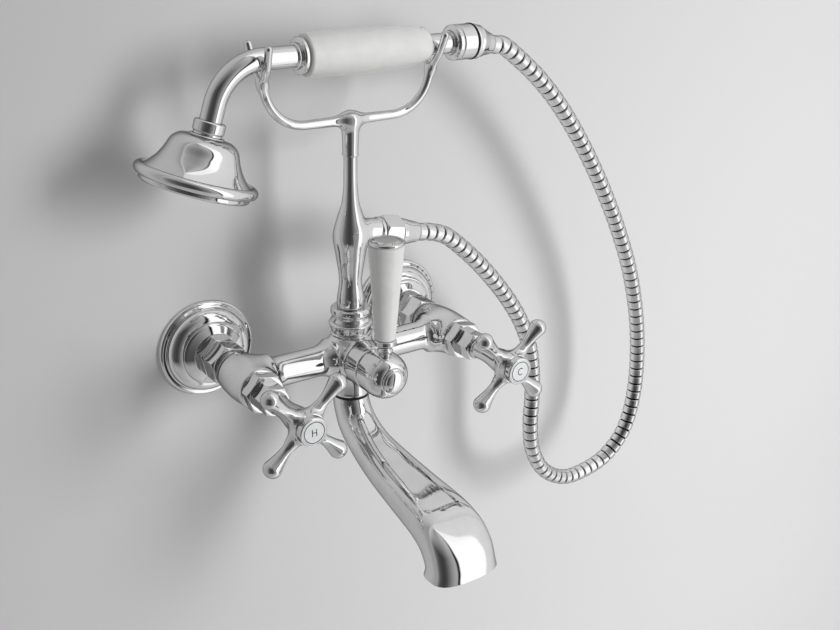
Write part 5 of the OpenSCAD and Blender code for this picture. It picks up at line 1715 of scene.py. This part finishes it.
    def spray_plate(self, axes: Axes) -> Shell:
        """Low dome with rings of holes through it: a turned solid less a round bar at each hole.

        Args:
            axes: where the rose stands.

        Returns:
            The drilled plate.
        """
        r, rim_s = self.face_r, self.collar_h + self.bell_h
        s = rim_s + self.face_drop
        back = [(0, s - 3.0), (r - 4, s - 2.4), (r - 3, rim_s - 0.9), (r, rim_s - 0.9)]
        solid = cast_turned([*back, (r, s - 1.0), (r - 1.0, s), (0, s + 0.8)], Axes((0.0, 0.0, 0.0)))
        counts = [max(6 * k, 1) for k in range(self.hole_rings + 1)]
        ring = np.concatenate([np.full(count, k) for k, count in enumerate(counts)])
        turn = 2 * math.pi * np.concatenate([np.arange(count) / count for count in counts])
        pitch = (r - 7) / self.hole_rings
        middles = pitch * ring[:, None] * np.column_stack([np.cos(turn), np.sin(turn)])

        def drilled(points: np.ndarray) -> np.ndarray:
            """The solid's distance, or that to the nearest hole's wall where it is greater.

            Args:
                points: points in millimetres.

            Returns:
                Their distances.
            """
            hole = np.full(len(points), FAR)
            for x, y in middles:
                hole = np.minimum(hole, np.hypot(points[:, 0] - x, points[:, 1] - y) - self.hole_r)
            return np.maximum(solid(points), -hole)

        shell = meshed(drilled, (-r - 1, -r - 1, rim_s - 2), (r + 1, r + 1, s + 2), self.face_cell)
        return Shell(axes.place(shell.points), shell.quads, shell.tris).outward()

    def front_outline(self) -> np.ndarray:
        """Front ferrule: a bead on the tube and a wide ring at the porcelain.

        Returns:
            Radius and height of each point.
        """
        t, f, x = self.tube_r, self.ferrule_r, self.ferrule_x
        bead = [(0, x), (t + 1, x), (t + 1.4, x + 0.4), (t + 1.4, x + 1.5), (t + 0.8, x + 1.9)]
        ring = [(f - 0.6, x + 2.3), (f, x + 3.1), (f, x + 4.9), (f - 0.8, x + 5.7), (f - 1, x + 6.4)]
        return soften([*bead, *ring, (0, x + 6.4)], 0.25)

    def grip_outline(self) -> np.ndarray:
        """Porcelain swelling, fullest before its middle, with rounded ends.

        Returns:
            Radius and height of each point.
        """
        (x0, x1), r = self.grip_x, self.grip_r
        length = x1 - x0
        side = flow([[r - 0.9, 0.9], [r - 0.2, length * 0.2], [r, length * 0.38], [r - 0.4, length * 0.68],
                     [r - 1.7, length * 0.88], [r - 3.4, length - 2.4]])
        end = [[r - 4, length - 0.8], [r - 4.8, length], [0, length]]
        return soften(np.vstack([[[0, 0], [r - 1.6, 0]], side, end]), 0.3, 4) + [0, x0]

    def rear_outline(self) -> np.ndarray:
        """Rear ferrule: a bead at the porcelain, a plain neck and the hose nut's thread.

        Returns:
            Radius and height of each point.
        """
        t, (x0, x1), thread = self.tube_r, self.rear_x, self.thread_x
        bead = [(0, x0), (t + 1.2, x0), (t + 1.6, x0 + 0.4), (t + 1.6, x0 + 1.0), (t + 1.2, x0 + 1.3)]
        neck = [(t, x0 + 1.3), (t, thread)]
        return soften([*bead, *neck, (t + 1, thread), (t + 1, x1), (0, x1)], 0.2)


# Inner pieces, studio and camera


INNER_SLOTS: dict[Slot, tuple[str, ...]] = {
    Slot.BRASS: ("wall_tail_hot", "wall_tail_cold", "spindle_hot", "spindle_cold", "handle_screw_hot",
                 "handle_screw_cold", "diverter_retainer", "diverter_spool", "grip_core"),
    Slot.VALVE_CERAMIC: ("fixed_discs", "moving_disc_hot", "moving_disc_cold"),
    Slot.SEAL_RUBBER: ("union_washers", "seat_washers", "stem_seals", "diverter_seals", "riser_washer",
                       "outlet_washer", "spout_seals", "hose_washer"),
    Slot.CHROME: ("cradle_screw",),
}


def dress_inner_pieces() -> None:
    """Give the CAD nodes that stay their finishes."""
    for slot, names in INNER_SLOTS.items():
        for name in names:
            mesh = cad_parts[name].data
            mesh.materials.clear()
            mesh.materials.append(slot.material)
            LOG.info("%s: CAD node in %s", name, slot.finish.name)


@dataclass
class Studio:
    """A pale painted wall that curves into a floor, a soft lamp and the camera of the photograph."""

    wall_y: float = 0.0006
    floor_z: float = -0.62
    cove_r: float = 0.3
    half_width: float = 2.6
    wall_top: float = 2.2
    floor_front: float = -3.0
    paint: str = "#DAD9DA"
    paint_grain_mm: float = 1.5
    paint_relief_mm: float = 0.05
    far_tone: str = "#DCDCDB"
    # Y at which the floor has turned into the far tone, to the camera
    far_y: float = -0.9
    # Painted reflection of the wall in the plate, a glow in place of its lit paint: its brightness at its
    # left and right, and the X of those two places
    wall_glow_in_plate: tuple[float, float] = (0.36, 0.76)
    wall_glow_x: tuple[float, float] = (-0.4, 0.4)
    # Share of the painted glow over the lit paint, in the plate
    wall_glow_share: float = 0.8
    room_strength: float = 1.25
    fill_tone: str = "#FFFFFF"
    fill_strength: float = 0.32
    # Tone of the room round the level: degrees to the right of straight out of the wall
    room_tones: Sequence[tuple[float, str]] = (
        (-180, "#A8A8A8"), (-112, "#A4A4A4"), (-90, "#969696"), (-76, "#666666"), (-58, "#444444"),
        (-34, "#363636"), (-20, "#464646"), (-6, "#6C6C6C"), (8, "#929292"), (15, "#9E9E9E"),
        (17, "#101010"), (20, "#141414"), (22, "#FFFFFF"), (44, "#F8F8F8"), (48, "#CECECE"),
        (100, "#C8C8C8"), (140, "#C0C0C0"), (180, "#A8A8A8"),
    )
    # Share of the pale ceiling and floor over those tones, by the sine of the height
    pale_shares: Sequence[tuple[float, float]] = (
        (-1.0, 0.6), (-0.6, 0.45), (-0.44, 0.0), (0.5, 0.0), (0.7, 0.2), (0.9, 0.42), (1.0, 0.42),
    )
    pale_tone: str = "#CACACA"
    lamp_place: tuple[float, float, float] = (1.15, -1.95, 0.4)
    lamp_target: tuple[float, float, float] = (0.42, 0.0, -0.12)
    lamp_size: tuple[float, float] = (0.85, 1.3)
    lamp_watts: float = 5.4
    lamp_spread_deg: float = 56.0
    focal_px: float = 1118.45
    camera_mm: tuple[float, float, float] = (-351.7, -625.25, 298.6)
    azimuth_deg: float = 35.675
    elevation_deg: float = 22.161
    roll_deg: float = 1.337

    def build(self) -> None:
        """Make the backdrop, the light and the camera."""
        self.backdrop()
        self.world()
        self.lamp()
        self.camera()

    def backdrop(self) -> None:
        """Carry the profile of the wall, the cove's quarter circle and the floor along X."""
        turn = np.linspace(0, math.pi / 2, 16)
        cove = np.column_stack([self.wall_y - self.cove_r * (1 - np.cos(turn)),
                                self.floor_z + self.cove_r * (1 - np.sin(turn))])
        profile = np.vstack([[[self.wall_y, self.wall_top]], cove, [[self.floor_front, self.floor_z]]])
        x = np.broadcast_to([-self.half_width, self.half_width], (len(profile), 2))
        y, z = (np.repeat(profile[:, k:k + 1], 2, axis=1) for k in range(2))
        index = np.arange(x.size).reshape(-1, 2)
        faces = np.stack([index[:-1, 0], index[1:, 0], index[1:, 1], index[:-1, 1]], axis=-1)
        mesh = bpy.data.meshes.new("backdrop")
        mesh.from_pydata(np.stack([x, y, z], axis=-1).reshape(-1, 3).tolist(), [], faces.tolist())
        mesh.shade_smooth()
        mesh.materials.append(self.wall_paint())
        made = bpy.data.objects.new("backdrop", mesh)
        bpy.context.scene.collection.objects.link(made)

    def wall_paint(self) -> bpy.types.Material:
        """Matt pale paint with a fine roller grain, see-through from behind.

        In the plate the wall shows mostly as a painted glow, a painted reflection that is paler towards its
        right, and the plate looks through the floor to the room.
        To the camera the floor turns away from the wall into the pale tone of the room's far end.

        Returns:
            The paint.
        """
        paint = bpy.data.materials.new("matt_wall_paint")
        paint.use_nodes = True
        paint.cycles.emission_sampling = "NONE"
        tree = paint.node_tree
        tree.nodes.clear()
        place = add_node(tree, "ShaderNodeTexCoord").outputs["Object"]
        way = add_node(tree, "ShaderNodeSeparateXYZ", links={"Vector": place}).outputs
        rays = add_node(tree, "ShaderNodeLightPath").outputs
        glossy = rays["Is Glossy Ray"]

        grain = add_node(
            tree, "ShaderNodeTexNoise", {"Scale": per_metre(self.paint_grain_mm), "Detail": 2.0},
            {"Vector": place})
        bump = add_node(
            tree, "ShaderNodeBump", {"Strength": 0.05, "Distance": self.paint_relief_mm * MM},
            {"Height": grain.outputs["Fac"]})
        surface = add_node(
            tree, "ShaderNodeBsdfPrincipled", {"Base Color": linear(self.paint), "Roughness": 0.7},
            {"Normal": bump.outputs["Normal"]})
        # Painted reflection: in the plate the wall glows, paler to the right, in place of most of its lit
        # paint
        (x0, x1), (dim, bright) = self.wall_glow_x, self.wall_glow_in_plate
        brightness = add_node(
            tree, "ShaderNodeMapRange", {"From Min": x0, "From Max": x1, "To Min": dim, "To Max": bright},
            {"Value": way["X"]})
        painted_wall_glow = add_node(tree, "ShaderNodeEmission", links={"Strength": brightness.outputs["Result"]})
        in_plate = add_node(
            tree, "ShaderNodeMath", {"operation": "MULTIPLY", 1: self.wall_glow_share}, {0: glossy})
        front = add_node(tree, "ShaderNodeMixShader", links={
            0: in_plate.outputs["Value"], 1: surface.outputs["BSDF"], 2: painted_wall_glow.outputs["Emission"]})

        ahead = add_node(
            tree, "ShaderNodeMapRange", {"From Min": -self.cove_r, "From Max": self.far_y},
            {"Value": way["Y"]})
        shown = add_node(
            tree, "ShaderNodeMath", {"operation": "MULTIPLY"},
            {0: ahead.outputs["Result"], 1: rays["Is Camera Ray"]})
        far_end = add_node(tree, "ShaderNodeEmission", {"Color": linear(self.far_tone), "Strength": 1.0})
        seen = add_node(tree, "ShaderNodeMixShader", links={
            0: shown.outputs["Value"], 1: front.outputs["Shader"], 2: far_end.outputs["Emission"]})

        behind = add_node(tree, "ShaderNodeNewGeometry").outputs["Backfacing"]
        on_floor = add_node(
            tree, "ShaderNodeMath", {"operation": "LESS_THAN", 1: -self.cove_r}, {0: way["Y"]})
        unseen = add_node(
            tree, "ShaderNodeMath", {"operation": "MULTIPLY_ADD"},
            {0: on_floor.outputs["Value"], 1: glossy, 2: behind})
        clear = add_node(tree, "ShaderNodeBsdfTransparent")
        mix = add_node(tree, "ShaderNodeMixShader", links={
            0: unseen.outputs["Value"], 1: seen.outputs["Shader"], 2: clear.outputs["BSDF"]})
        add_node(tree, "ShaderNodeOutputMaterial", links={"Surface": mix.outputs["Shader"]})
        return paint

    def world(self) -> None:
        """Paint the room that the plate mirrors.

        Round the level it is dark in front and to the left, with a tall window in a black frame to
        the right and a pale wall beyond it. The floor and the ceiling are paler than the dark side.
        """
        world = bpy.data.worlds.new("studio_room")
        bpy.context.scene.world = world
        world.use_nodes = True
        tree = world.node_tree
        tree.nodes.clear()
        place = add_node(tree, "ShaderNodeTexCoord").outputs["Generated"]
        way = add_node(tree, "ShaderNodeSeparateXYZ", links={"Vector": place}).outputs
        rays = add_node(tree, "ShaderNodeLightPath").outputs

        out = add_node(tree, "ShaderNodeMath", {"operation": "MULTIPLY", 1: -1.0}, {0: way["Y"]})
        turn = add_node(
            tree, "ShaderNodeMath", {"operation": "ARCTAN2"}, {0: way["X"], 1: out.outputs["Value"]})
        share = add_node(
            tree, "ShaderNodeMapRange", {"From Min": -math.pi, "From Max": math.pi},
            {"Value": turn.outputs["Value"]})
        level = add_node(tree, "ShaderNodeValToRGB", links={"Fac": share.outputs["Result"]})
        self.paint_ramp(level, [(0.5 + degrees / 360, linear(tone)) for degrees, tone in self.room_tones])
        height = add_node(
            tree, "ShaderNodeMapRange", {"From Min": -1.0, "From Max": 1.0}, {"Value": way["Z"]})
        cover = add_node(tree, "ShaderNodeValToRGB", links={"Fac": height.outputs["Result"]})
        self.paint_ramp(cover, [(0.5 + sine / 2, (part,) * 3 + (1.0,)) for sine, part in self.pale_shares])
        mixed = add_node(
            tree, "ShaderNodeMix", {"data_type": "RGBA", 7: linear(self.pale_tone)},
            {0: cover.outputs["Color"], 6: level.outputs["Color"]})

        room = add_node(
            tree, "ShaderNodeBackground", {"Strength": self.room_strength}, {"Color": mixed.outputs[2]})
        fill = add_node(
            tree, "ShaderNodeBackground", {"Color": linear(self.fill_tone), "Strength": self.fill_strength})
        pale = add_node(tree, "ShaderNodeBackground", {"Color": linear(self.far_tone), "Strength": 1.0})
        lit = add_node(tree, "ShaderNodeMixShader", links={
            0: rays["Is Glossy Ray"], 1: fill.outputs["Background"], 2: room.outputs["Background"]})
        shown = add_node(tree, "ShaderNodeMixShader", links={
            0: rays["Is Camera Ray"], 1: lit.outputs["Shader"], 2: pale.outputs["Background"]})
        add_node(tree, "ShaderNodeOutputWorld", links={"Surface": shown.outputs["Shader"]})

    def paint_ramp(self, ramp: bpy.types.Node, colours: Sequence[tuple[float, Sequence[float]]]) -> None:
        """Set a ramp's stops.

        Args:
            ramp: a colour ramp node.
            colours: position and linear colour of each stop, in order.
        """
        stops = ramp.color_ramp.elements
        while len(stops) < len(colours):
            stops.new(1.0)
        for stop, (position, colour) in zip(stops, colours):
            stop.position = position
            stop.color = colour

    def lamp(self) -> None:
        """Hang one soft rectangular lamp behind a grid.

        The plate doesn't mirror it, because the room's window stands for it there.
        """
        light = bpy.data.lights.new("window_softbox", "AREA")
        light.shape = "RECTANGLE"
        light.size, light.size_y = self.lamp_size
        light.energy = self.lamp_watts
        light.spread = math.radians(self.lamp_spread_deg)
        made = bpy.data.objects.new("window_softbox", light)
        made.location = self.lamp_place
        way = Vector(self.lamp_target) - Vector(self.lamp_place)
        made.rotation_euler = way.to_track_quat("-Z", "Y").to_euler()
        made.visible_glossy = False
        bpy.context.scene.collection.objects.link(made)

    def camera(self) -> None:
        """Stand the camera where the photograph was taken, with its tilt and field of view."""
        a, e, roll = (math.radians(v) for v in (self.azimuth_deg, self.elevation_deg, self.roll_deg))
        ahead = Vector((math.sin(a) * math.cos(e), math.cos(a) * math.cos(e), -math.sin(e)))
        right = Vector((math.cos(a), -math.sin(a), 0))
        up = right.cross(ahead)
        x = math.cos(roll) * right + math.sin(roll) * up
        y = -math.sin(roll) * right + math.cos(roll) * up
        data = bpy.data.cameras.new("photo_camera")
        data.sensor_width = 36.0
        data.lens = data.sensor_width * self.focal_px / PHOTO_WIDTH_PX
        data.clip_start, data.clip_end = 0.01, 50.0
        made = bpy.data.objects.new("photo_camera", data)
        turned_to = Matrix((x, y, -ahead)).transposed().to_4x4()
        made.matrix_world = Matrix.Translation(Vector(self.camera_mm) * MM) @ turned_to
        bpy.context.scene.collection.objects.link(made)
        bpy.context.scene.camera = made


def main() -> None:
    """Build the studio and every sub-assembly in order."""
    bpy.context.scene.view_settings.view_transform = "Standard"
    Studio().build()
    ShowerHose().build()
    for side in Side:
        WallUnion(side).build()
        Valve(side).build()
        CrossHandle(side).build()
    for part in (MixerBody(), Diverter(), Riser(), Cradle(), HoseFittings(), Spout(), HandShower()):
        part.build()
    dress_inner_pieces()


if __name__ == "__main__":
    main()
